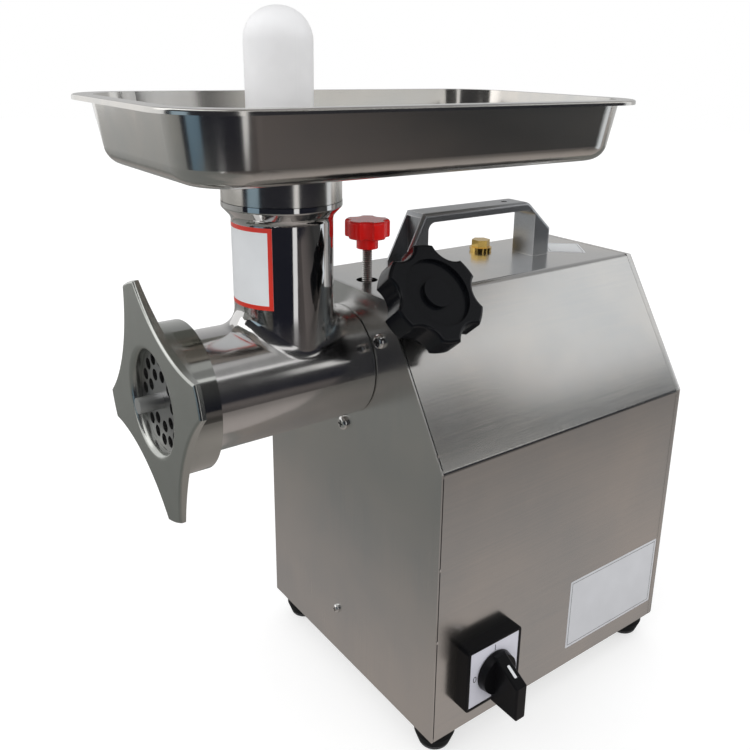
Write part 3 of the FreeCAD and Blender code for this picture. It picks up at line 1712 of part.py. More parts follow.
def ring_nut():
    """The star ring: a threaded sleeve and a flange with four wings and hollow sides."""
    body = new_body("ring_nut")
    bore = "thread_dia / 2 + seam_gap"
    turn_about_z(body, [
        ("opening_dia / 2", "lip_back"),
        ("opening_dia / 2", "ring_front"),
        ("wing_radius", "ring_front"),
        ("wing_radius", "ring_front - wing_thick"),
        ("sleeve_dia / 2", "flange_back"),
        ("sleeve_dia / 2", "sleeve_back"),
        (bore, "sleeve_back"),
        (bore, "lip_back"),
    ])
    # The hollow side is an arc through the waist and through the corners of two neighbouring tips
    reach = "sqrt(wing_radius ^ 2 - wing_tip ^ 2 / 4)"
    half_turn = "180 / wing_count"
    corner_along = f"({reach} * cos({half_turn}) + wing_tip / 2 * sin({half_turn}))"
    corner_aside = f"({reach} * sin({half_turn}) - wing_tip / 2 * cos({half_turn}))"
    rise = f"({corner_along} - waist_radius)"
    hollow = f"({corner_aside} ^ 2 + {rise} ^ 2) / (2 * {rise})"
    side = circle(*polar(f"waist_radius + {hollow}", "wing_angle + 180 / wing_count"), hollow)
    bite = pocket(body, [side], "ring_front", "flange_root")
    star = repeat_round(body, bite, "wing_count")
    lip = soften(body, star, "opening_round", level_edge("ring_front", "opening_dia / 2"))

    at_front = level_edge("ring_front")

    def wing_edge(edge):
        return at_front(edge) and not small_round(edge, "opening_dia / 2 + opening_round")

    soften(body, lip, "wing_edge_round", wing_edge)
    return on_barrel_axis(body)


# Feed tray and pusher


def tray_ring(inset):
    """The tray's outline seen from above, moved in from the rim by an inset."""
    half_width = f"tray_width / 2 - ({inset})"
    half_length = f"tray_length / 2 - ({inset})"
    radius = f"tray_corner - ({inset}) / 2"
    return rounded_box(f"-({half_width})", f"tray_back_shift - ({half_length})", half_width,
                       f"tray_back_shift + ({half_length})", radius)


def tray_bowl(body, kind, low, high, wall):
    """A flared bowl between the tray's floor and its rim, added or cut away."""
    floor = drawn(body, "XY_Plane", [tray_ring(f"tray_rim + tray_flare + ({wall})")], low)
    mouth = drawn(body, "XY_Plane", [tray_ring(f"tray_rim + ({wall})")], high)
    made = feature(body, kind, floor)
    made.Sections = [mouth]
    return made


def feed_tray():
    """The pan over the neck: flared walls, a rim with a turned lip, and a spout into the neck."""
    body = new_body("feed_tray")
    rim = "tray_depth"
    slab = pad(body, [tray_ring("0")], f"{rim} - tray_lip", "tray_lip")
    soften(body, slab, "tray_rim_round", level_edge(rim))
    pocket(body, [tray_ring("tray_gauge")], f"{rim} - tray_gauge", "tray_lip - tray_gauge")
    tray_bowl(body, "AdditiveLoft", "0", f"{rim} - tray_gauge", "0")
    hollow = tray_bowl(body, "SubtractiveLoft", "tray_gauge", rim, "tray_gauge")
    inside = soften(body, hollow, "tray_base_round - tray_gauge", level_edge("tray_gauge"))
    soften(body, inside, "tray_base_round", level_edge("0"))
    spout = "throat_dia / 2 - socket_play"
    seat = "neck_level + seam_gap - tray_level"
    axis = "-neck_forward"
    pad(body, [circle("0", axis, "tray_collar_dia / 2")], seat, f"tray_gauge - ({seat})")
    pad(body, [circle("0", axis, spout)], f"{seat} - tray_spigot_length", "tray_spigot_length")
    depth = f"tray_spigot_length + tray_gauge - ({seat})"
    pocket(body, [circle("0", axis, f"{spout} - tray_spigot_wall")], "tray_gauge", depth)
    return put(body, z="tray_floor")


def pusher():
    """The white food pusher standing in the throat, with a domed top."""
    body = new_body("pusher")
    low = "barrel_level + flight_radius + pusher_foot_gap"
    length = f"pusher_top_level - ({low})"
    foot = "pusher_foot_dia / 2"
    stick = turn_about_z(body, [("0", "0"), (foot, "0"), ("pusher_dia / 2", length), ("0", length)])
    soften(body, stick, "pusher_dia / 2 - pusher_crown", level_edge(length))
    return put(body, "0", "-neck_forward", f"foot_height + {low}")


# Every node of the machine

SMALL = ("small_journal_dia", "small_bearing_dia")
MOTOR_SEATS = {"front": "motor_start + bell_wall", "rear": "motor_end - bell_wall - small_bearing_width"}
IDLER_SEATS = {"front": "gearbox_start", "rear": "cavity_end"}

node(bent_cover(), "main_cover")
node(front_panel(), "front_panel")
node(rear_panel(), "rear_panel")
node(base_plate(), "base_plate")
for foot, place in foot_places().items():
    node(rubber_foot(foot, *place), f"rubber_foot_{foot}")
screws = [foot_screw(foot, *place) for foot, place in foot_places().items()]
node(group("foot_screws", screws), "foot_screws")
node(front_screws(), "front_screws")
node(carry_handle(), "carry_handle")
node(handle_screws(), "handle_screws")
node(oil_plug(), "oil_plug")
node(oil_plug_washer(), "oil_plug_washer")
node(head_socket(), "head_socket")
node(oil_seal(), "oil_seal")
bearing("output_bearing_front", "shaft_dia", "front_bearing_dia", "bearing_back", "front_bearing_width",
        "axis_level")
bearing("output_bearing_rear", "rear_journal_dia", "rear_bearing_dia", "cavity_end", "rear_bearing_width",
        "axis_level")
for end, seat in IDLER_SEATS.items():
    bearing(f"idler_bearing_{end}", *SMALL, seat, "small_bearing_width", "axis_level - idler_drop")
for end, seat in MOTOR_SEATS.items():
    bearing(f"motor_bearing_{end}", *SMALL, seat, "small_bearing_width", "motor_level")
node(gearbox_housing(), "gearbox_housing")
node(gearbox_cover(), "gearbox_cover")
node(gearbox_bolts(), "gearbox_bolts")
node(output_shaft(), "output_shaft")
node(output_gear(), "output_gear")
node(idler_shaft(), "idler_shaft")
node(idler_gear(), "idler_gear")
node(motor_shaft(), "motor_shaft")
node(motor_bell("motor_bell_front", "motor_start", "stator_start", "motor_start"), "motor_bell_front")
node(motor_bell("motor_bell_rear", "motor_end", "stator_end", "gearbox_start"), "motor_bell_rear")
node(motor_stator(), "motor_stator")
node(motor_windings(), "motor_windings")
node(rotor_core(), "rotor_core")
node(cooling_fan(), "cooling_fan")
node(motor_saddle(), "motor_saddle")
node(start_capacitor(), "start_capacitor")
node(capacitor_clip(), "capacitor_clip")
node(terminal_block(), "terminal_block")
node(cord_gland(), "cord_gland")
node(gland_nut(), "gland_nut")
node(switch_box(), "switch_box")
node(switch_plate(), "switch_plate")
node(switch_dial(), "switch_dial")
node(switch_knob(), "switch_knob")
node(black_knob(), "black_knob")
node(black_stud(), "black_stud")
node(red_knob(), "red_knob")
node(red_stud(), "red_stud")
node(grinder_head(), "grinder_head")
node(plate_key(), "plate_key")
node(auger(), "auger")
node(thrust_washer(), "thrust_washer")
node(knife(), "knife")
node(grinding_plate(), "grinding_plate")
node(ring_nut(), "ring_nut")
node(feed_tray(), "feed_tray")
node(pusher(), "pusher")

# Check everything before anything is written
doc.recompute()
for item in doc.Objects:
    if "Invalid" in item.State or "Error" in item.State:
        raise RuntimeError(f"{item.Label} failed: {item.State}")
for item in nodes:
    if item.Shape.isNull() or not item.Shape.isValid() or not item.Shape.Solids:
        raise RuntimeError(f"{item.Label} has no valid solid")

os.makedirs("parts", exist_ok=True)
for item in nodes:
    item.Shape.exportStep(f"parts/{item.Label}.step")
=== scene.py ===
import math

import bmesh
import bpy
from mathutils import Matrix, Quaternion, Vector


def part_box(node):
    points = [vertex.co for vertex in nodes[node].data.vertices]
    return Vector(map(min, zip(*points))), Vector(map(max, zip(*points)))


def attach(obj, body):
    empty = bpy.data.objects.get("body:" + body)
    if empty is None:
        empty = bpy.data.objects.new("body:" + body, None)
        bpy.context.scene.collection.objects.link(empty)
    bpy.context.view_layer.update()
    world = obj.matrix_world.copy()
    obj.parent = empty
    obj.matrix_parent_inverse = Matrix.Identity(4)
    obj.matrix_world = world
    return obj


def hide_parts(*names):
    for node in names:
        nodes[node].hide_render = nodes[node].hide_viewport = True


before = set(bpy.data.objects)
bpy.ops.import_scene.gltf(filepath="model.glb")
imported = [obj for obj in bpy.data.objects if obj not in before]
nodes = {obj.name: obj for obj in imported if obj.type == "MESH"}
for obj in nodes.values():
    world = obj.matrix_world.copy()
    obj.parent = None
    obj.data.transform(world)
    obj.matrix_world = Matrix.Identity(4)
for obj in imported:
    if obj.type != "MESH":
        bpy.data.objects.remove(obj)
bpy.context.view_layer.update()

MM = 0.001

# Directions of the frame
RIGHT = Vector((1, 0, 0))
BACK = Vector((0, 1, 0))
UP = Vector((0, 0, 1))

# Sizes that the nodes' boxes don't tell, in metres
RING_FACE_DEPTH = 12 * MM
NECK_FOOT_RISE = 40 * MM
NECK_RADIUS = 32.25 * MM
NECK_REACH = 47 * MM
SHOULDER_RISE = 210 * MM
ROOF_HALF = 48 * MM
PRINT_THICK = 0.03 * MM

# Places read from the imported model, in metres
casing_low, casing_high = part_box("main_cover")
front_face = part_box("front_panel")[0].y
middle = (casing_low.x + casing_high.x) / 2
shoulder = casing_low.z + SHOULDER_RISE
roof_edge = middle + ROOF_HALF
switch_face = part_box("switch_plate")[1].x
dial_low, dial_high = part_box("switch_dial")
dial_middle = (dial_low + dial_high) / 2
knob_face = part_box("switch_knob")[1].x
ring_low, ring_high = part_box("ring_nut")
ring_back = ring_low.y + RING_FACE_DEPTH
head_level = (ring_low.z + ring_high.z) / 2
neck_foot = head_level + NECK_FOOT_RISE

# The red clamp's stud, whose thread stands a little over the plain rod
THREAD_CREST = 0.6 * MM
THREAD_PITCH = 1.5 * MM
THREAD_DEPTH = THREAD_PITCH / 2
THREAD_LEAD_IN = 1 * MM
red_low, red_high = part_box("red_stud")
red_middle = (red_low + red_high) / 2
red_foot = Vector((red_middle.x, red_middle.y, red_low.z))
red_crest = (red_high.x - red_low.x) / 2 + THREAD_CREST


# Shader helpers


def shader_tree(name, metallic=0.0):
    """A new material, its node tree and the principled shader in it."""
    material = bpy.data.materials.new(name)
    material.use_nodes = True
    tree = material.node_tree
    shader = tree.nodes["Principled BSDF"]
    shader.inputs["Metallic"].default_value = metallic
    return material, tree, shader


def add(tree, kind, inputs=None, **settings):
    """Add a shader node; an input is a value or the socket that feeds it."""
    made = tree.nodes.new("ShaderNode" + kind)
    for name, value in settings.items():
        setattr(made, name, value)
    for key, value in (inputs or {}).items():
        feed(tree, made.inputs[key], value)
    return made


def feed(tree, socket, value):
    """Set a socket to a value, or link it to another socket."""
    if isinstance(value, bpy.types.NodeSocket):
        tree.links.new(value, socket)
    else:
        socket.default_value = value


def combined(tree, operation, first, second):
    """Two values joined by an operation."""
    return add(tree, "Math", {0: first, 1: second}, operation=operation).outputs["Value"]


def object_place(tree):
    """Coordinates in metres of the part's own frame."""
    return add(tree, "TexCoord").outputs["Object"]


def on_axis(tree, vector, axis):
    """One coordinate of a vector."""
    return add(tree, "SeparateXYZ", {"Vector": vector}).outputs[axis]


def noise(tree, scale, detail=3.0, roughness=0.5):
    """Soft noise between 0 and 1; the scale is one number, or a number for each axis."""
    scales = scale if isinstance(scale, tuple) else (scale, scale, scale)
    stretched = add(tree, "Mapping", {"Vector": object_place(tree), "Scale": scales}).outputs["Vector"]
    inputs = {"Vector": stretched, "Scale": 1.0, "Detail": detail, "Roughness": roughness}
    return add(tree, "TexNoise", inputs).outputs["Fac"]


def mapped(tree, value, start, end, low, high):
    """Map a value between a start and an end to a range of values."""
    inputs = {"Value": value, "From Min": start, "From Max": end, "To Min": low, "To Max": high}
    return add(tree, "MapRange", inputs).outputs["Result"]


def ramp(tree, factor, low, high):
    """Map a factor between 0 and 1 to a range of values."""
    return mapped(tree, factor, 0.0, 1.0, low, high)


def uneven(tree, factor, value, low, high):
    """A value that a factor takes from a low share of it to a high one."""
    return ramp(tree, factor, value * low, value * high)


def tint(tree, factor, dark, light):
    """Mix two colours, of which each is three numbers or a socket."""
    mix = add(tree, "Mix", data_type="RGBA")
    feed(tree, mix.inputs["Factor"], factor)
    for key, colour in (("A", dark), ("B", light)):
        is_socket = isinstance(colour, bpy.types.NodeSocket)
        feed(tree, mix.inputs[key], colour if is_socket else (*colour, 1))
    return mix.outputs["Result"]


def shade(colour, share):
    """A colour times a share."""
    return tuple(channel * share for channel in colour)


def grey(tone):
    """A colour with three equal channels."""
    return (tone, tone, tone)


def mottled(tree, factor, colour, low, high):
    """A colour that a factor takes from a low share of it to a high one."""
    return tint(tree, factor, shade(colour, low), shade(colour, high))


def bump(tree, height, distance, strength):
    """A normal that rises and falls by a distance in metres."""
    inputs = {"Height": height, "Distance": distance, "Strength": strength}
    return add(tree, "Bump", inputs).outputs["Normal"]


def edge_mask(tree, radius):
    """Nearly 1 along sharp edges and 0 on open faces."""
    rounded = add(tree, "Bevel", {"Radius": radius}, samples=4)
    flat = add(tree, "NewGeometry")
    inputs = {0: rounded.outputs["Normal"], 1: flat.outputs["Normal"]}
    along = add(tree, "VectorMath", inputs, operation="DOT_PRODUCT").outputs["Value"]
    return mapped(tree, along, start=1.0, end=0.9, low=0.0, high=1.0)


# Materials

WARM_CAST = (1.1, 1.05, 1.0)
COOL_CAST = (0.84, 0.87, 0.89)
WAVE_SCALE = 38
WAVE_STRENGTH = 0.6
GLOW_REACH = 12 * MM


def cast_over(colour, cast):
    """A colour times a cast, channel by channel."""
    return tuple(channel * share for channel, share in zip(colour, cast))


def brushed_metal(name, colour, roughness, grain, aniso=0.0):
    """Sheet metal with fine brush lines along the axis where the grain's scale is small."""
    material, tree, shader = shader_tree(name, metallic=1.0)
    lines = noise(tree, grain, detail=2.0)
    clouds = noise(tree, scale=9, detail=4.0)
    smudges = noise(tree, scale=30, detail=5.0, roughness=0.6)
    patches = ramp(tree, clouds, low=-0.4, high=1.4)
    streaks = combined(tree, "ADD", patches, ramp(tree, lines, low=-0.25, high=0.25))
    colours = tint(tree, streaks, cast_over(colour, COOL_CAST), cast_over(colour, WARM_CAST))
    wear = combined(tree, "ADD", lines, smudges)
    finish = mapped(tree, wear, start=0.6, end=1.4, low=roughness * 0.9, high=roughness * 1.1)
    feed(tree, shader.inputs["Base Color"], colours)
    feed(tree, shader.inputs["Roughness"], finish)
    shader.inputs["Anisotropic"].default_value = aniso
    return material


def slow_waves(tree, shader, depth):
    """Bend a shader's normals by the slow waves that buffing leaves."""
    waves = noise(tree, WAVE_SCALE, detail=1.0)
    feed(tree, shader.inputs["Normal"], bump(tree, waves, depth, WAVE_STRENGTH))


def polished_metal(name, colour, roughness, wave):
    """Buffed metal: nearly a mirror, with slow waves left by the buffing."""
    material, tree, shader = shader_tree(name, metallic=1.0)
    smear = noise(tree, scale=(60, 60, 220), detail=4.0)
    feed(tree, shader.inputs["Base Color"], mottled(tree, smear, colour, low=0.93, high=1.0))
    feed(tree, shader.inputs["Roughness"], uneven(tree, smear, roughness, low=0.6, high=1.5))
    slow_waves(tree, shader, wave)
    return material


def half_polished(name, colour, satin, polish, axis, border, blend=1 * MM, wave=0.0):
    """Metal that is satin before a border on an axis of the part's frame, and polished past it."""
    material, tree, shader = shader_tree(name, metallic=1.0)
    along = on_axis(tree, object_place(tree), axis)
    smear = noise(tree, scale=60, detail=4.0)
    finish = mapped(tree, along, border - blend, border + blend, satin, polish)
    spread = ramp(tree, smear, low=0.8, high=1.2)
    feed(tree, shader.inputs["Base Color"], mottled(tree, smear, colour, low=0.92, high=1.05))
    feed(tree, shader.inputs["Roughness"], combined(tree, "MULTIPLY", finish, spread))
    if wave:
        slow_waves(tree, shader, wave)
    return material


def cast_metal(name, colour, roughness):
    """Cast metal with a fine pebble."""
    material, tree, shader = shader_tree(name, metallic=1.0)
    pebble = noise(tree, scale=900)
    clouds = noise(tree, scale=25)
    feed(tree, shader.inputs["Base Color"], mottled(tree, clouds, colour, low=0.85, high=1.08))
    feed(tree, shader.inputs["Roughness"], uneven(tree, pebble, roughness, low=0.8, high=1.2))
    feed(tree, shader.inputs["Normal"], bump(tree, pebble, distance=0.06 * MM, strength=0.6))
    return material


def threaded_metal(name, colour, axis, root, crest):
    """Screw steel on an upright axis, with painted shade in its grooves and a painted highlight on its
    crests.
    """
    material, tree, shader = shader_tree(name, metallic=1.0)
    inputs = {0: object_place(tree), 1: tuple(axis)}
    spoke = add(tree, "VectorMath", inputs, operation="SUBTRACT").outputs["Vector"]
    inputs = {0: spoke, 1: tuple(RIGHT + BACK)}
    flat = add(tree, "VectorMath", inputs, operation="MULTIPLY").outputs["Vector"]
    reach = add(tree, "VectorMath", {0: flat}, operation="LENGTH").outputs["Value"]
    share = mapped(tree, reach, root, crest, low=0.0, high=1.0)
    # Painted shade towards the thread's root and a painted highlight at its crest
    feed(tree, shader.inputs["Base Color"], mottled(tree, share, colour, low=0.2, high=1.2))
    feed(tree, shader.inputs["Roughness"], ramp(tree, share, low=0.5, high=0.2))
    return material


def handle_paint(name, colour, worn_edge_and_highlight):
    """Silver paint on a die casting, lighter along its edges: partly paint worn through to the metal,
    partly a painted highlight.
    """
    material, tree, shader = shader_tree(name, metallic=0.92)
    flakes = noise(tree, scale=2600, detail=1.0)
    clouds = noise(tree, scale=30)
    paint = mottled(tree, clouds, colour, low=0.9, high=1.08)
    # Lighter edges: partly worn paint, partly a painted highlight
    wear = edge_mask(tree, radius=0.6 * MM)
    feed(tree, shader.inputs["Base Color"], tint(tree, wear, paint, worn_edge_and_highlight))
    feed(tree, shader.inputs["Roughness"], ramp(tree, flakes, low=0.24, high=0.34))
    feed(tree, shader.inputs["Normal"], bump(tree, flakes, distance=0.03 * MM, strength=0.4))
    return material


def plastic(name, colour, roughness, grain, depth, coat=0.0, glow=0.0, gloss=0.5):
    """Moulded plastic, rubber or print with a fine grain, whose depth is in metres."""
    material, tree, shader = shader_tree(name)
    fine = noise(tree, grain)
    clouds = noise(tree, scale=40, detail=2.0)
    feed(tree, shader.inputs["Base Color"], mottled(tree, clouds, colour, low=0.9, high=1.08))
    feed(tree, shader.inputs["Roughness"], uneven(tree, fine, roughness, low=0.8, high=1.2))
    feed(tree, shader.inputs["Normal"], bump(tree, fine, depth, strength=0.5))
    shader.inputs["Specular IOR Level"].default_value = gloss
    shader.inputs["Coat Weight"].default_value = coat
    shader.inputs["Subsurface Weight"].default_value = glow
    shader.inputs["Subsurface Radius"].default_value = 3 * (GLOW_REACH,)
    return material


def printed(name, colour, roughness):
    """Smooth paper, film or ink."""
    return plastic(name, colour, roughness, grain=900, depth=0.02 * MM)


def windings(name, colour):
    """Varnished copper turns that run round the motor."""
    material, tree, shader = shader_tree(name, metallic=0.8)
    turns = noise(tree, scale=(60, 2400, 60), detail=2.0)
    feed(tree, shader.inputs["Base Color"], mottled(tree, turns, colour, low=0.6, high=1.0))
    feed(tree, shader.inputs["Roughness"], ramp(tree, turns, low=0.25, high=0.5))
    feed(tree, shader.inputs["Normal"], bump(tree, turns, distance=0.2 * MM, strength=0.8))
    return material


STEEL = (0.63, 0.63, 0.625)
BRIGHT = (0.75, 0.74, 0.73)
SIDE_GRAIN = (900, 12, 900)
UPRIGHT_GRAIN = (1100, 1100, 10)
HEAD_POLISH = dict(satin=0.15, polish=0.07, axis="Z", border=neck_foot, blend=8 * MM, wave=0.2 * MM)

looks = {
    # Brushed sheet and bar: colour, roughness and scale of the grain
    "casing": brushed_metal("casing_steel", STEEL, 0.2, SIDE_GRAIN, aniso=0.3),
    "panel": brushed_metal("panel_steel", STEEL, 0.25, UPRIGHT_GRAIN, aniso=0.3),
    "base": brushed_metal("base_steel", shade(STEEL, 0.8), 0.4, SIDE_GRAIN),
    "tray": brushed_metal("tray_steel", (0.66, 0.65, 0.63), 0.16, (90, 8, 90)),
    "cutter": brushed_metal("cutter_steel", grey(0.36), 0.3, (900, 40, 900)),
    "gear": brushed_metal("gear_steel", (0.45, 0.45, 0.46), 0.3, 500),
    "bearing": brushed_metal("bearing_steel", grey(0.66), 0.2, 600),
    "laminate": brushed_metal("lamination", (0.25, 0.25, 0.26), 0.45, (30, 3000, 30)),
    "can": brushed_metal("can_metal", grey(0.7), 0.3, (700, 700, 20)),
    # Buffed metal: colour, roughness and depth of the waves
    "screw": polished_metal("screw_steel", BRIGHT, 0.1, 0.05 * MM),
    "zinc": polished_metal("plug_zinc", (0.66, 0.45, 0.13), 0.1, 0.06 * MM),
    # Half satin, half polished: colour, the two roughnesses, the axis and the border on it
    "polish": half_polished("head_polish", shade(BRIGHT, 0.92), **HEAD_POLISH),
    "ring": half_polished("ring_satin", (0.5, 0.51, 0.485), 0.24, 0.1, "Y", ring_back),
    "socket": half_polished("socket_satin", (0.5, 0.5, 0.48), 0.24, 0.3, "Y", front_face),
    # Castings: colour and roughness
    "auger": cast_metal("auger_steel", grey(0.6), 0.35),
    "cast": cast_metal("cast_alloy", (0.55, 0.55, 0.56), 0.5),
    "iron": cast_metal("saddle_iron", grey(0.15), 0.6),
    # Painted shade: a near-black look for the screw crosses and the panel seam, standing for the shade in
    # those hollows and gaps
    "recess": cast_metal("recess_painted_shade", grey(0.04), 0.5),
    # Metal that is threaded, painted or wound
    "thread": threaded_metal("thread_steel", BRIGHT, red_foot, red_crest - THREAD_DEPTH, red_crest),
    "handle": handle_paint("handle_paint", (0.38, 0.39, 0.405), grey(0.82)),
    "copper": windings("copper", (0.55, 0.25, 0.1)),
    # Plastic and rubber: colour, roughness, then scale and depth of the grain
    "rubber": plastic("foot_rubber", (0.006, 0.006, 0.007), 0.5, 1400, 0.08 * MM, gloss=0.2),
    "seal": plastic("seal_rubber", (0.05, 0.03, 0.02), 0.5, 1400, 0.06 * MM),
    "black": plastic("knob_black", (0.005, 0.0055, 0.007), 0.2, 1600, 0.01 * MM, gloss=0.25),
    "switch": plastic("switch_black", (0.005, 0.005, 0.006), 0.3, 1800, 0.04 * MM, gloss=0.15),
    "gland": plastic("gland_plastic", grey(0.03), 0.45, 1400, 0.06 * MM),
    "fan": plastic("fan_plastic", grey(0.05), 0.5, 1200, 0.06 * MM),
    "terminal": plastic("terminal_plastic", (0.75, 0.72, 0.65), 0.5, 1200, 0.06 * MM),
    "fibre": plastic("washer_fibre", (0.8, 0.78, 0.7), 0.6, 1500, 0.08 * MM),
    "dial": plastic("dial_white", (0.74, 0.74, 0.82), 0.3, 1500, 0.02 * MM),
    "red": plastic("knob_red", (0.86, 0.013, 0.011), 0.2, 900, 0.02 * MM, coat=0.3),
    "white": plastic("pusher_plastic", (0.87, 0.87, 0.88), 0.35, 700, 0.04 * MM, glow=0.4),
    # Paper, film and ink: colour and roughness
    "paper": printed("label_white", (0.68, 0.69, 0.72), 0.4),
    "sticker": printed("sticker_white", (0.8, 0.82, 0.84), 0.35),
    "ink": printed("label_line", (0.05, 0.05, 0.06), 0.4),
    "border": printed("sticker_red", (0.68, 0.035, 0.02), 0.3),
}

# Which look each node of the frame has
dressed = {
    "casing": ["main_cover"],
    "panel": ["front_panel", "rear_panel"],
    "base": ["base_plate"],
    "tray": ["feed_tray"],
    "polish": ["grinder_head", "plate_key"],
    "ring": ["ring_nut"],
    "socket": ["head_socket"],
    "cutter": ["knife", "grinding_plate"],
    "screw": ["foot_screws", "front_screws", "handle_screws", "gearbox_bolts", "black_stud", "red_stud"],
    "gear": ["output_shaft", "output_gear", "idler_shaft", "idler_gear", "motor_shaft"],
    "bearing": [name for name in nodes if "_bearing_" in name],
    "auger": ["auger"],
    "cast": ["gearbox_housing", "gearbox_cover", "motor_bell_front", "motor_bell_rear"],
    "iron": ["motor_saddle"],
    "laminate": ["motor_stator", "rotor_core"],
    "can": ["start_capacitor", "capacitor_clip"],
    "handle": ["carry_handle"],
    "zinc": ["oil_plug", "oil_plug_washer"],
    "copper": ["motor_windings"],
    "rubber": [name for name in nodes if name.startswith("rubber_foot")],
    "seal": ["oil_seal"],
    "black": ["black_knob"],
    "switch": ["switch_box", "switch_plate", "switch_knob"],
    "gland": ["cord_gland", "gland_nut"],
    "fan": ["cooling_fan"],
    "terminal": ["terminal_block"],
    "fibre": ["thrust_washer"],
    "dial": ["switch_dial"],
    "red": ["red_knob"],
    "white": ["pusher"],
}

for look, names in dressed.items():
    for name in names:
        nodes[name].data.materials.clear()
        nodes[name].data.materials.append(looks[look])


# Mesh helpers

CORNER_STEPS = 6
QUARTERS = ((1, 1), (-1, 1), (-1, -1), (1, -1))


def linked(name, data):
    """A new object in the scene."""
    made = bpy.data.objects.new(name, data)
    bpy.context.scene.collection.objects.link(made)
    return made


def piece(name, points, faces, look, body):
    """A mesh in the part's frame that rides on a body."""
    mesh = bpy.data.meshes.new(name)
    mesh.from_pydata([tuple(point) for point in points], [], faces)
    mesh.validate()
    mesh.materials.append(looks[look])
    made = linked(name, mesh)
    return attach(made, body)


def slab(place, width, height, thick, corner=0.0):
    """Points and faces of a thin plate with round corners; place maps (across, up, out) to the frame."""
    outline = []
    turns = range(CORNER_STEPS + 1) if corner else [0]
    for quarter, (side, level) in enumerate(QUARTERS):
        for turn in turns:
            angle = math.radians(90 * (quarter + turn / CORNER_STEPS))
            across = side * (width / 2 - corner) + corner * math.cos(angle)
            up = level * (height / 2 - corner) + corner * math.sin(angle)
            outline.append((across, up))
    count = len(outline)
    points = [place(across, up, out) for out in (0, thick) for across, up in outline]
    faces = [tuple(range(count))[::-1], tuple(range(count, 2 * count))]
    for index in range(count):
        after = (index + 1) % count
        faces.append((index, after, count + after, count + index))
    return points, faces


def line_frame(place, width, height, line, thick):
    """Points and faces of a rectangular line along a plate's edge."""
    points = []
    for out in (0, thick):
        for inset in (0, line):
            for side, level in QUARTERS:
                points.append(place(side * (width / 2 - inset), level * (height / 2 - inset), out))
    count = len(QUARTERS)
    inner = count
    top = 2 * count
    inner_top = 3 * count
    faces = []
    for index in range(count):
        after = (index + 1) % count
        faces.append((top + index, top + after, inner_top + after, inner_top + index))
        faces.append((index, inner + index, inner + after, after))
        faces.append((index, after, top + after, top + index))
        faces.append((inner + index, inner_top + index, inner_top + after, inner + after))
    return points, faces


def flat_place(origin, across, up):
    """A map from (across, up, out) on a flat face to the frame."""
    out = across.cross(up)

    def place(along, level, height):
        return origin + across * along + up * level + out * height

    return place


def raised(place, lift):
    """A map that lies a lift outside another."""

    def higher(along, level, out):
        return place(along, level, out + lift)

    return higher


# Thread of the red clamp's stud

THREAD_SIDES = 24
ROWS_EACH_TURN = 6
THREAD_START = math.radians(180)


def threaded_stud(name, node, body, foot, length, crest):
    """An upright stud with a real helical thread in place of the plain rod."""
    rows = round(length / THREAD_PITCH * ROWS_EACH_TURN)
    points = []
    for row in range(rows + 1):
        height = length * row / rows
        taper = THREAD_DEPTH * max(0, 1 - min(height, length - height) / THREAD_LEAD_IN)
        for side in range(THREAD_SIDES):
            phase = (row / ROWS_EACH_TURN - side / THREAD_SIDES) % 1
            groove = THREAD_DEPTH * (1 - abs(2 * phase - 1))
            reach = crest - max(groove, taper)
            angle = THREAD_START + 2 * math.pi * side / THREAD_SIDES
            points.append(foot + Vector((reach * math.cos(angle), reach * math.sin(angle), height)))
    faces = []
    for row in range(rows):
        base = row * THREAD_SIDES
        above = base + THREAD_SIDES
        for side in range(THREAD_SIDES):
            after = (side + 1) % THREAD_SIDES
            faces.append((base + side, base + after, above + after, above + side))
    faces.append(tuple(range(THREAD_SIDES))[::-1])
    faces.append(tuple(range(rows * THREAD_SIDES, (rows + 1) * THREAD_SIDES)))
    made = piece(name, points, faces, "thread", body)
    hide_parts(node)
    return made


threaded_stud("red_thread", "red_stud", "red_stud", red_foot, red_high.z - red_low.z, red_crest)


# Crosses in the screw heads

CROSS_ARM_SHARE = 2 / 9
CROSS_SINK = 0.25 * MM
LUG_RADIUS = 50 * MM
LUG_TURN = 30
LUG_COUNT = 3
LUG_CROSS = 5.5 * MM
LOW_SCREW_SIDE = 10.5 * MM
LOW_SCREW_HEAD = 2.6 * MM
LOW_SCREW_RISE = 39 * MM
LOW_SCREW_CROSS = 3.6 * MM


def cross_recess(name, tip, size):
    """A dark cross sunk in a screw head, painted shade for the hollow of the cross; tip is the middle of
    the head's face, which looks to -Y.
    """
    arm = size / 2
    half = size * CROSS_ARM_SHARE / 2
    arm_end = [(half, arm), (-half, arm), (-half, half)]
    outline = []
    for _ in QUARTERS:
        outline.extend(arm_end)
        arm_end = [(-z, x) for x, z in arm_end]
    count = len(outline)
    points = [tip + Vector((x, y, z)) for y in (CROSS_SINK, -PRINT_THICK) for x, z in outline]
    faces = [tuple(range(count)), tuple(range(count, 2 * count))[::-1]]
    for index in range(count):
        after = (index + 1) % count
        faces.append((index, count + index, count + after, after))
    return piece(name, points, faces, "recess", "housing")


screw_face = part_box("front_screws")[0].y
for lug in range(LUG_COUNT):
    angle = math.radians(LUG_TURN + lug * 360 / LUG_COUNT)
    lug_side = middle + LUG_RADIUS * math.cos(angle)
    lug_level = head_level + LUG_RADIUS * math.sin(angle)
    cross_recess(f"socket_screw_cross_{lug}", Vector((lug_side, screw_face, lug_level)), LUG_CROSS)
low_screw = Vector((middle - LOW_SCREW_SIDE, front_face - LOW_SCREW_HEAD, casing_low.z + LOW_SCREW_RISE))
cross_recess("low_screw_cross", low_screw, LOW_SCREW_CROSS)


# Labels

LABEL_THICK = 0.12 * MM
LABEL_CORNER = 1.2 * MM
SIDE_LABEL = (106 * MM, 61 * MM)
SIDE_LABEL_GAP = 1 * MM
SIDE_LABEL_RISE = 45.5 * MM
TOP_LABEL = (30 * MM, 34 * MM)
TOP_LABEL_SIDE = 4 * MM
TOP_LABEL_GAP = 26 * MM
TOP_LABEL_TURN = math.radians(52)


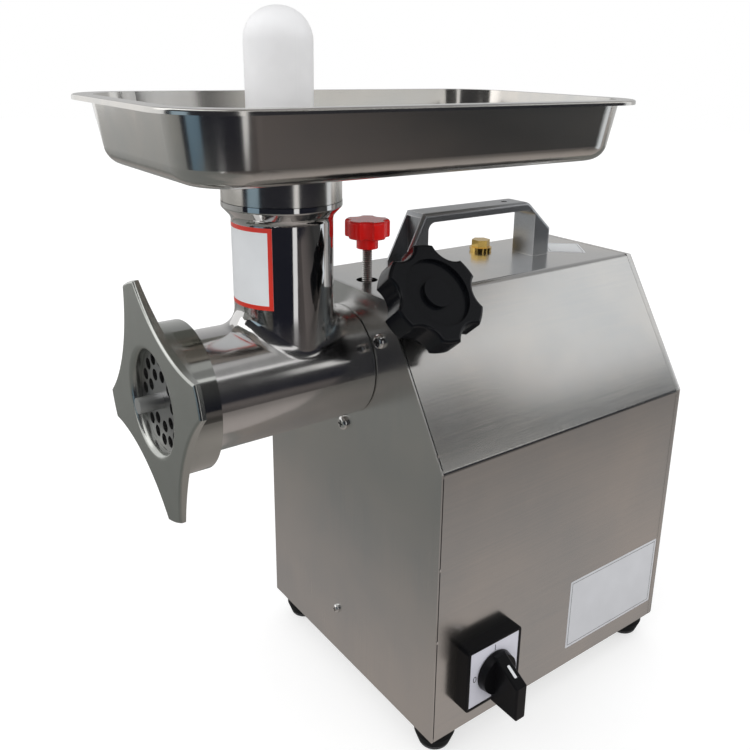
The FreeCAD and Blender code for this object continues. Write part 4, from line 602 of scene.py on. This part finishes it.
def label(name, place, width, height, look, line, inset):
    """A plain label with a thin printed line along its edge."""
    sheet = slab(place, width, height, LABEL_THICK, LABEL_CORNER)
    piece(name, *sheet, look, "housing")
    over = raised(place, LABEL_THICK)
    edge = line_frame(over, width - 2 * inset, height - 2 * inset, line, PRINT_THICK)
    piece(name + "_line", *edge, "ink", "housing")


side_back = casing_high.y - SIDE_LABEL_GAP - SIDE_LABEL[0] / 2
side_origin = Vector((casing_high.x, side_back, casing_low.z + SIDE_LABEL_RISE))
label("side_label", flat_place(side_origin, BACK, UP), *SIDE_LABEL, "paper", line=0.4 * MM, inset=2 * MM)

top_origin = Vector((middle + TOP_LABEL_SIDE, casing_high.y - TOP_LABEL_GAP, casing_high.z))
turned = Quaternion(UP, TOP_LABEL_TURN)
top_place = flat_place(top_origin, turned @ RIGHT, turned @ BACK)
label("top_label", top_place, *TOP_LABEL, "sticker", line=0.3 * MM, inset=1.5 * MM)


# Neck sticker

STICKER_WIDTH = 48.5 * MM
STICKER_HEIGHT = 51.5 * MM
STICKER_LINE = 2.8 * MM
STICKER_THICK = 0.15 * MM
STICKER_EDGE = math.radians(-41)
STICKER_RISE = 52.4 * MM
STICKER_STEPS = 28
LONG_STEPS = 26
SHORT_STEPS = 3


def wrapped(axis, radius, start, low):
    """A map from (arc length, height, out) to the outside of an upright cylinder."""

    def place(along, level, out):
        angle = start - along / radius
        reach = radius + out
        return Vector((axis.x + reach * math.cos(angle), axis.y + reach * math.sin(angle), low + level))

    return place


def curved_band(place, left, right, low, high, thick, steps):
    """Points and faces of a thin patch that follows a wrapped place."""
    points = []
    for out in (0, thick):
        for level in (low, high):
            for step in range(steps + 1):
                points.append(place(left + (right - left) * step / steps, level, out))
    row = steps + 1
    faces = []
    for step in range(steps):
        faces.append((2 * row + step, 3 * row + step, 3 * row + step + 1, 2 * row + step + 1))
        faces.append((step, step + 1, row + step + 1, row + step))
        faces.append((step, 2 * row + step, 2 * row + step + 1, step + 1))
        faces.append((row + step, row + step + 1, 3 * row + step + 1, 3 * row + step))
    for step, flip in ((0, 1), (steps, -1)):
        faces.append((step, row + step, 3 * row + step, 2 * row + step)[::flip])
    return points, faces


neck_axis = Vector((middle, front_face - NECK_REACH, 0))
neck = wrapped(neck_axis, NECK_RADIUS, STICKER_EDGE, head_level + STICKER_RISE)
sticker = curved_band(neck, 0, STICKER_WIDTH, 0, STICKER_HEIGHT, STICKER_THICK, STICKER_STEPS)
piece("neck_sticker", *sticker, "sticker", "head")

inner_right = STICKER_WIDTH - STICKER_LINE
inner_high = STICKER_HEIGHT - STICKER_LINE
edges = {
    "left": (0, STICKER_LINE, 0, STICKER_HEIGHT, SHORT_STEPS),
    "right": (inner_right, STICKER_WIDTH, 0, STICKER_HEIGHT, SHORT_STEPS),
    "low": (STICKER_LINE, inner_right, 0, STICKER_LINE, LONG_STEPS),
    "high": (STICKER_LINE, inner_right, inner_high, STICKER_HEIGHT, LONG_STEPS),
}
over_sticker = raised(neck, STICKER_THICK)
for name, (left, right, low, high, steps) in edges.items():
    strip = curved_band(over_sticker, left, right, low, high, PRINT_THICK, steps)
    piece("sticker_border_" + name, *strip, "border", "head")


# Numerals on the switch's dial

NUMERAL_SIZE = 7 * MM
NUMERAL_INSET = 4.5 * MM


def numeral(name, text, origin):
    """A printed numeral on the switch's dial, which faces +X."""
    curve = bpy.data.curves.new(name, "FONT")
    curve.body = text
    curve.size = NUMERAL_SIZE
    curve.extrude = PRINT_THICK
    curve.align_x = "CENTER"
    curve.align_y = "CENTER"
    text_object = linked(name, curve)
    mesh = bpy.data.meshes.new_from_object(text_object)
    bpy.data.objects.remove(text_object)
    turn = Matrix(((0, 0, 1, origin.x), (1, 0, 0, origin.y), (0, 1, 0, origin.z), (0, 0, 0, 1)))
    mesh.transform(turn)
    mesh.materials.clear()
    mesh.materials.append(looks["ink"])
    made = linked(name, mesh)
    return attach(made, "housing")


dial_reach = (dial_high.y - dial_low.y) / 2 - NUMERAL_INSET
numeral("dial_mark_run", "1", Vector((dial_high.x, dial_middle.y, dial_middle.z + dial_reach)))
numeral("dial_mark_stop", "0", Vector((dial_high.x, dial_middle.y - dial_reach, dial_middle.z)))


# White pointer on the slope of the switch's knob

POINTER = (2.3 * MM, 9.5 * MM)
POINTER_THICK = 0.08 * MM
POINTER_CORNER = 0.6 * MM
KNOB_NOSE = 16 * MM
KNOB_SHOULDER = 4 * MM
KNOB_BASE = 6.3 * MM

slope_low = Vector((switch_face + KNOB_BASE, dial_middle.y, dial_middle.z + KNOB_NOSE))
slope_high = Vector((knob_face, dial_middle.y, dial_middle.z + KNOB_SHOULDER))
pointer_place = flat_place((slope_low + slope_high) / 2, -BACK, (slope_high - slope_low).normalized())
pointer = slab(pointer_place, *POINTER, POINTER_THICK, POINTER_CORNER)
piece("switch_pointer", *pointer, "sticker", "switch")


# Dark seam between the front panel and the cover, a strip of painted shade for the gap, and the weld
# tacks along it

SEAM_WIDTH = 0.7 * MM
SEAM_THICK = 0.05 * MM
SEAM_BACK = 1.65 * MM
SEAM_SHORT = 6 * MM
TACK = (1.3 * MM, 2.4 * MM)
TACK_THICK = 0.4 * MM
TACK_CORNER = 0.6 * MM
TACK_RISES = (84.1 * MM, 140.5 * MM, 220 * MM)

seam_depth = front_face + SEAM_BACK
side_foot = Vector((casing_high.x, seam_depth, casing_low.z))
side_top = Vector((casing_high.x, seam_depth, shoulder))
roof_corner = Vector((roof_edge, seam_depth, casing_high.z))
for name, low, high in (("side", side_foot, side_top), ("slope", side_top, roof_corner)):
    place = flat_place((low + high) / 2, BACK, (high - low).normalized())
    run = slab(place, SEAM_WIDTH, (high - low).length - SEAM_SHORT, SEAM_THICK)
    piece("seam_" + name, *run, "recess", "housing")

for index, rise in enumerate(TACK_RISES):
    level = casing_low.z + rise
    on_slope = max(0.0, level - shoulder) / (casing_high.z - shoulder)
    across = casing_high.x + (roof_edge - casing_high.x) * on_slope
    place = flat_place(Vector((across, seam_depth, level)), BACK, UP)
    tack = slab(place, *TACK, TACK_THICK, TACK_CORNER)
    piece(f"seam_tack_{index}", *tack, "screw", "housing")


# Stage and light

WHITE = (1, 1, 1, 1)
BLACK = (0, 0, 0, 1)
FLOOR_RADIUS = 6.0
FLOOR_SIDES = 96
FLOOR_DROP = 0.5 * MM
FLOOR_TONE = 0.55
FLOOR_ROUGHNESS = 0.9
FLOOR_GLOW = 0.6
HORIZON_LIGHT = 1.55
ZENITH_LIGHT = 0.5
LIT_PLACE = Vector((0, 0, 0.25))


def soft_panel(name, place, width, height, power):
    """A large soft lamp that looks at the object."""
    lamp = bpy.data.lights.new(name, "AREA")
    lamp.shape = "RECTANGLE"
    lamp.size = width
    lamp.size_y = height
    lamp.energy = power
    made = linked(name, lamp)
    made.location = place
    made.rotation_euler = (LIT_PLACE - Vector(place)).to_track_quat("-Z", "Y").to_euler()


def seen_directly(tree):
    """1 for rays from the camera and for mirror and see-through rays, which show the white background."""
    path = add(tree, "LightPath")
    total = path.outputs["Is Camera Ray"]
    for kind in ("Is Glossy Ray", "Is Transmission Ray"):
        total = combined(tree, "MAXIMUM", total, path.outputs[kind])
    return total


def floor_material():
    """A pale floor that looks white to the camera and in metal, and keeps the object's shadow."""
    material, tree, shader = shader_tree("floor_white")
    shader.inputs["Base Color"].default_value = (*grey(FLOOR_TONE), 1)
    shader.inputs["Roughness"].default_value = FLOOR_ROUGHNESS
    shader.inputs["Specular IOR Level"].default_value = 0.0
    shader.inputs["Emission Color"].default_value = WHITE
    glow = ramp(tree, seen_directly(tree), low=0.0, high=FLOOR_GLOW)
    feed(tree, shader.inputs["Emission Strength"], glow)
    return material


def pale_floor():
    """A wide round floor under the feet."""
    mesh = bpy.data.meshes.new("floor")
    shape = bmesh.new()
    bmesh.ops.create_circle(shape, cap_ends=True, segments=FLOOR_SIDES, radius=FLOOR_RADIUS)
    shape.to_mesh(mesh)
    shape.free()
    mesh.materials.append(floor_material())
    made = linked("floor", mesh)
    made.location.z = -FLOOR_DROP


def studio_world():
    """A white surround; as a light it is stronger at the horizon than overhead."""
    world = bpy.data.worlds.new("studio")
    bpy.context.scene.world = world
    world.use_nodes = True
    tree = world.node_tree
    background = tree.nodes["Background"]
    background.inputs["Color"].default_value = WHITE
    rise = on_axis(tree, add(tree, "TexCoord").outputs["Generated"], "Z")
    light = ramp(tree, rise, HORIZON_LIGHT, ZENITH_LIGHT)
    feed(tree, background.inputs["Strength"], ramp(tree, seen_directly(tree), low=light, high=1.0))


def card_material(name, corner, across, near, far):
    """A glow whose tone goes from near to far across a card."""
    material, tree, shader = shader_tree(name)
    inputs = {0: object_place(tree), 1: tuple(corner)}
    start = add(tree, "VectorMath", inputs, operation="SUBTRACT").outputs["Vector"]
    inputs = {0: start, 1: tuple(across / across.length_squared)}
    share = add(tree, "VectorMath", inputs, operation="DOT_PRODUCT").outputs["Value"]
    smooth = add(tree, "MapRange", {"Value": share}, interpolation_type="SMOOTHSTEP").outputs["Result"]
    shader.inputs["Base Color"].default_value = BLACK
    shader.inputs["Specular IOR Level"].default_value = 0.0
    shader.inputs["Emission Strength"].default_value = 1.0
    feed(tree, shader.inputs["Emission Color"], tint(tree, smooth, near, far))
    return material


def mirror_card(name, corner, along, across, near, far):
    """A toned card that metal mirrors but the camera doesn't see; two edges run from its corner."""
    mesh = bpy.data.meshes.new(name)
    points = [corner, corner + along, corner + along + across, corner + across]
    mesh.from_pydata([tuple(point) for point in points], [], [(0, 1, 2, 3)])
    mesh.materials.append(card_material(name, corner, across, near, far))
    made = linked(name, mesh)
    made.visible_camera = False
    made.visible_shadow = False
    made.visible_diffuse = False


pale_floor()
studio_world()
soft_panel("key_panel", (-0.4, -1.7, 1.7), width=2.4, height=1.8, power=10)
soft_panel("top_panel", (0.3, 0.3, 2.6), width=2.6, height=2.6, power=4)


# Toned cards that give the metal something to mirror

WARM = (0.42, 0.385, 0.365)
MID = (0.19, 0.195, 0.185)
PALE = (0.48, 0.48, 0.47)
DIM = grey(0.05)
DARK = (0.012, 0.013, 0.02)
BROWN = (0.17, 0.15, 0.145)
UMBER = shade(BROWN, 0.8)
GLOOM = shade(DIM, 0.7)
BACK_LOW = grey(0.58)
BACK_HIGH = (0.24, 0.24, 0.25)
CEILING_LEFT = (0.36, 0.35, 0.34)
CEILING_RIGHT = grey(0.3)
WINDOW_LOW = (0.1, 0.17, 0.23)
WINDOW_HIGH = (0.4, 0.52, 0.6)
STRIP_LOW = grey(0.9)
SKY = (0.8, 0.85, 0.9)
GLARE = grey(1.0)
CARD_LEVEL = 4 * MM

# Each card: corner, edge along, edge across, tone at the corner and tone at the far side
cards = {
    "floor_right": ((0.1, -0.6, CARD_LEVEL), (0, 3.2, 0), (0.7, 0, 0), WARM, shade(WARM, 0.14)),
    "floor_corner": ((0.8, -0.6, CARD_LEVEL), (1.6, 0, 0), (0, 0.8, 0), DARK, shade(BROWN, 0.5)),
    "floor_far_right": ((0.8, 0.2, CARD_LEVEL), (1.6, 0, 0), (0, 0.9, 0), UMBER, GLOOM),
    "floor_far_back": ((0.8, 1.1, CARD_LEVEL), (1.6, 0, 0), (0, 1.5, 0), DIM, DIM),
    "floor_front": ((0.5, -0.062, CARD_LEVEL), (-3.5, 0, 0), (0, -0.26, 0), shade(WARM, 0.9), MID),
    "floor_left": ((0.5, -0.322, CARD_LEVEL), (0, -2.2, 0), (-3.5, 0, 0), MID, PALE),
    "floor_back": ((0.1, -0.062, CARD_LEVEL), (0, 2.7, 0), (-3.1, 0, 0), MID, PALE),
    "wall_right": ((1.7, -0.6, 0), (0, 3.8, 0), (0, 0, 1.25), DARK, DIM),
    "wall_high": ((1.69, 0.3, 1.24), (0, 1.45, 0), (0, 0, 0.26), DIM, DIM),
    "wall_back": ((0.2, 1.6, 0.2), (-2.2, -1.6, 0), (0, 0, 2.3), BACK_LOW, BACK_HIGH),
    "ceiling": ((-3.0, -0.5, 2.45), (0, 3.4, 0), (5.5, 0, 0), CEILING_LEFT, CEILING_RIGHT),
    "front_right": ((0.95, -0.25, 0), (-0.65, -0.75, 0), (0, 0, 1.3), DARK, DIM),
    "front_middle": ((0.3, -1.0, 0), (-0.6, -0.1, 0), (0, 0, 1.3), DARK, DIM),
    "front_window": ((0.27, -0.97, 0.03), (-0.36, -0.03, 0), (0, 0, 0.45), WINDOW_LOW, WINDOW_HIGH),
    "tray_glow": ((1.65, 0.8, 0.7), (0, 1.1, 0), (0, 0, 0.32), shade(PALE, 1.7), shade(PALE, 1.9)),
    "bright_strip": ((0.95, -0.24, 0), (0.02, 0.16, 0), (0, 0, 1.0), STRIP_LOW, GLARE),
    "back_strip": ((0.55, 1.0, 0), (-0.25, 0.08, 0), (0, 0, 1.0), SKY, GLARE),
}
for name, (corner, along, across, near, far) in cards.items():
    mirror_card(name, Vector(corner), Vector(along), Vector(across), near, far)


# Camera, at the photograph's place, angle and framing

CAMERA_PLACE = (0.43926, -0.36064, 0.47869)
CAMERA_AIM = Vector((-0.75381, 0.58153, -0.30594))
CAMERA_ROLL = math.radians(1.244)
SENSOR_WIDTH = 36.0
LENS = 39.67
SHIFT = (-0.0356, -0.0711)
FARTHEST = 50


def photo_camera():
    """The camera that takes the main picture."""
    data = bpy.data.cameras.new("camera")
    data.sensor_width = SENSOR_WIDTH
    data.lens = LENS
    data.shift_x, data.shift_y = SHIFT
    data.clip_end = FARTHEST
    camera = linked("camera", data)
    camera.location = CAMERA_PLACE
    camera.rotation_mode = "QUATERNION"
    camera.rotation_quaternion = CAMERA_AIM.to_track_quat("-Z", "Y") @ Quaternion(UP, CAMERA_ROLL)
    bpy.context.scene.camera = camera


photo_camera()
bpy.context.scene.view_settings.view_transform = "Standard"
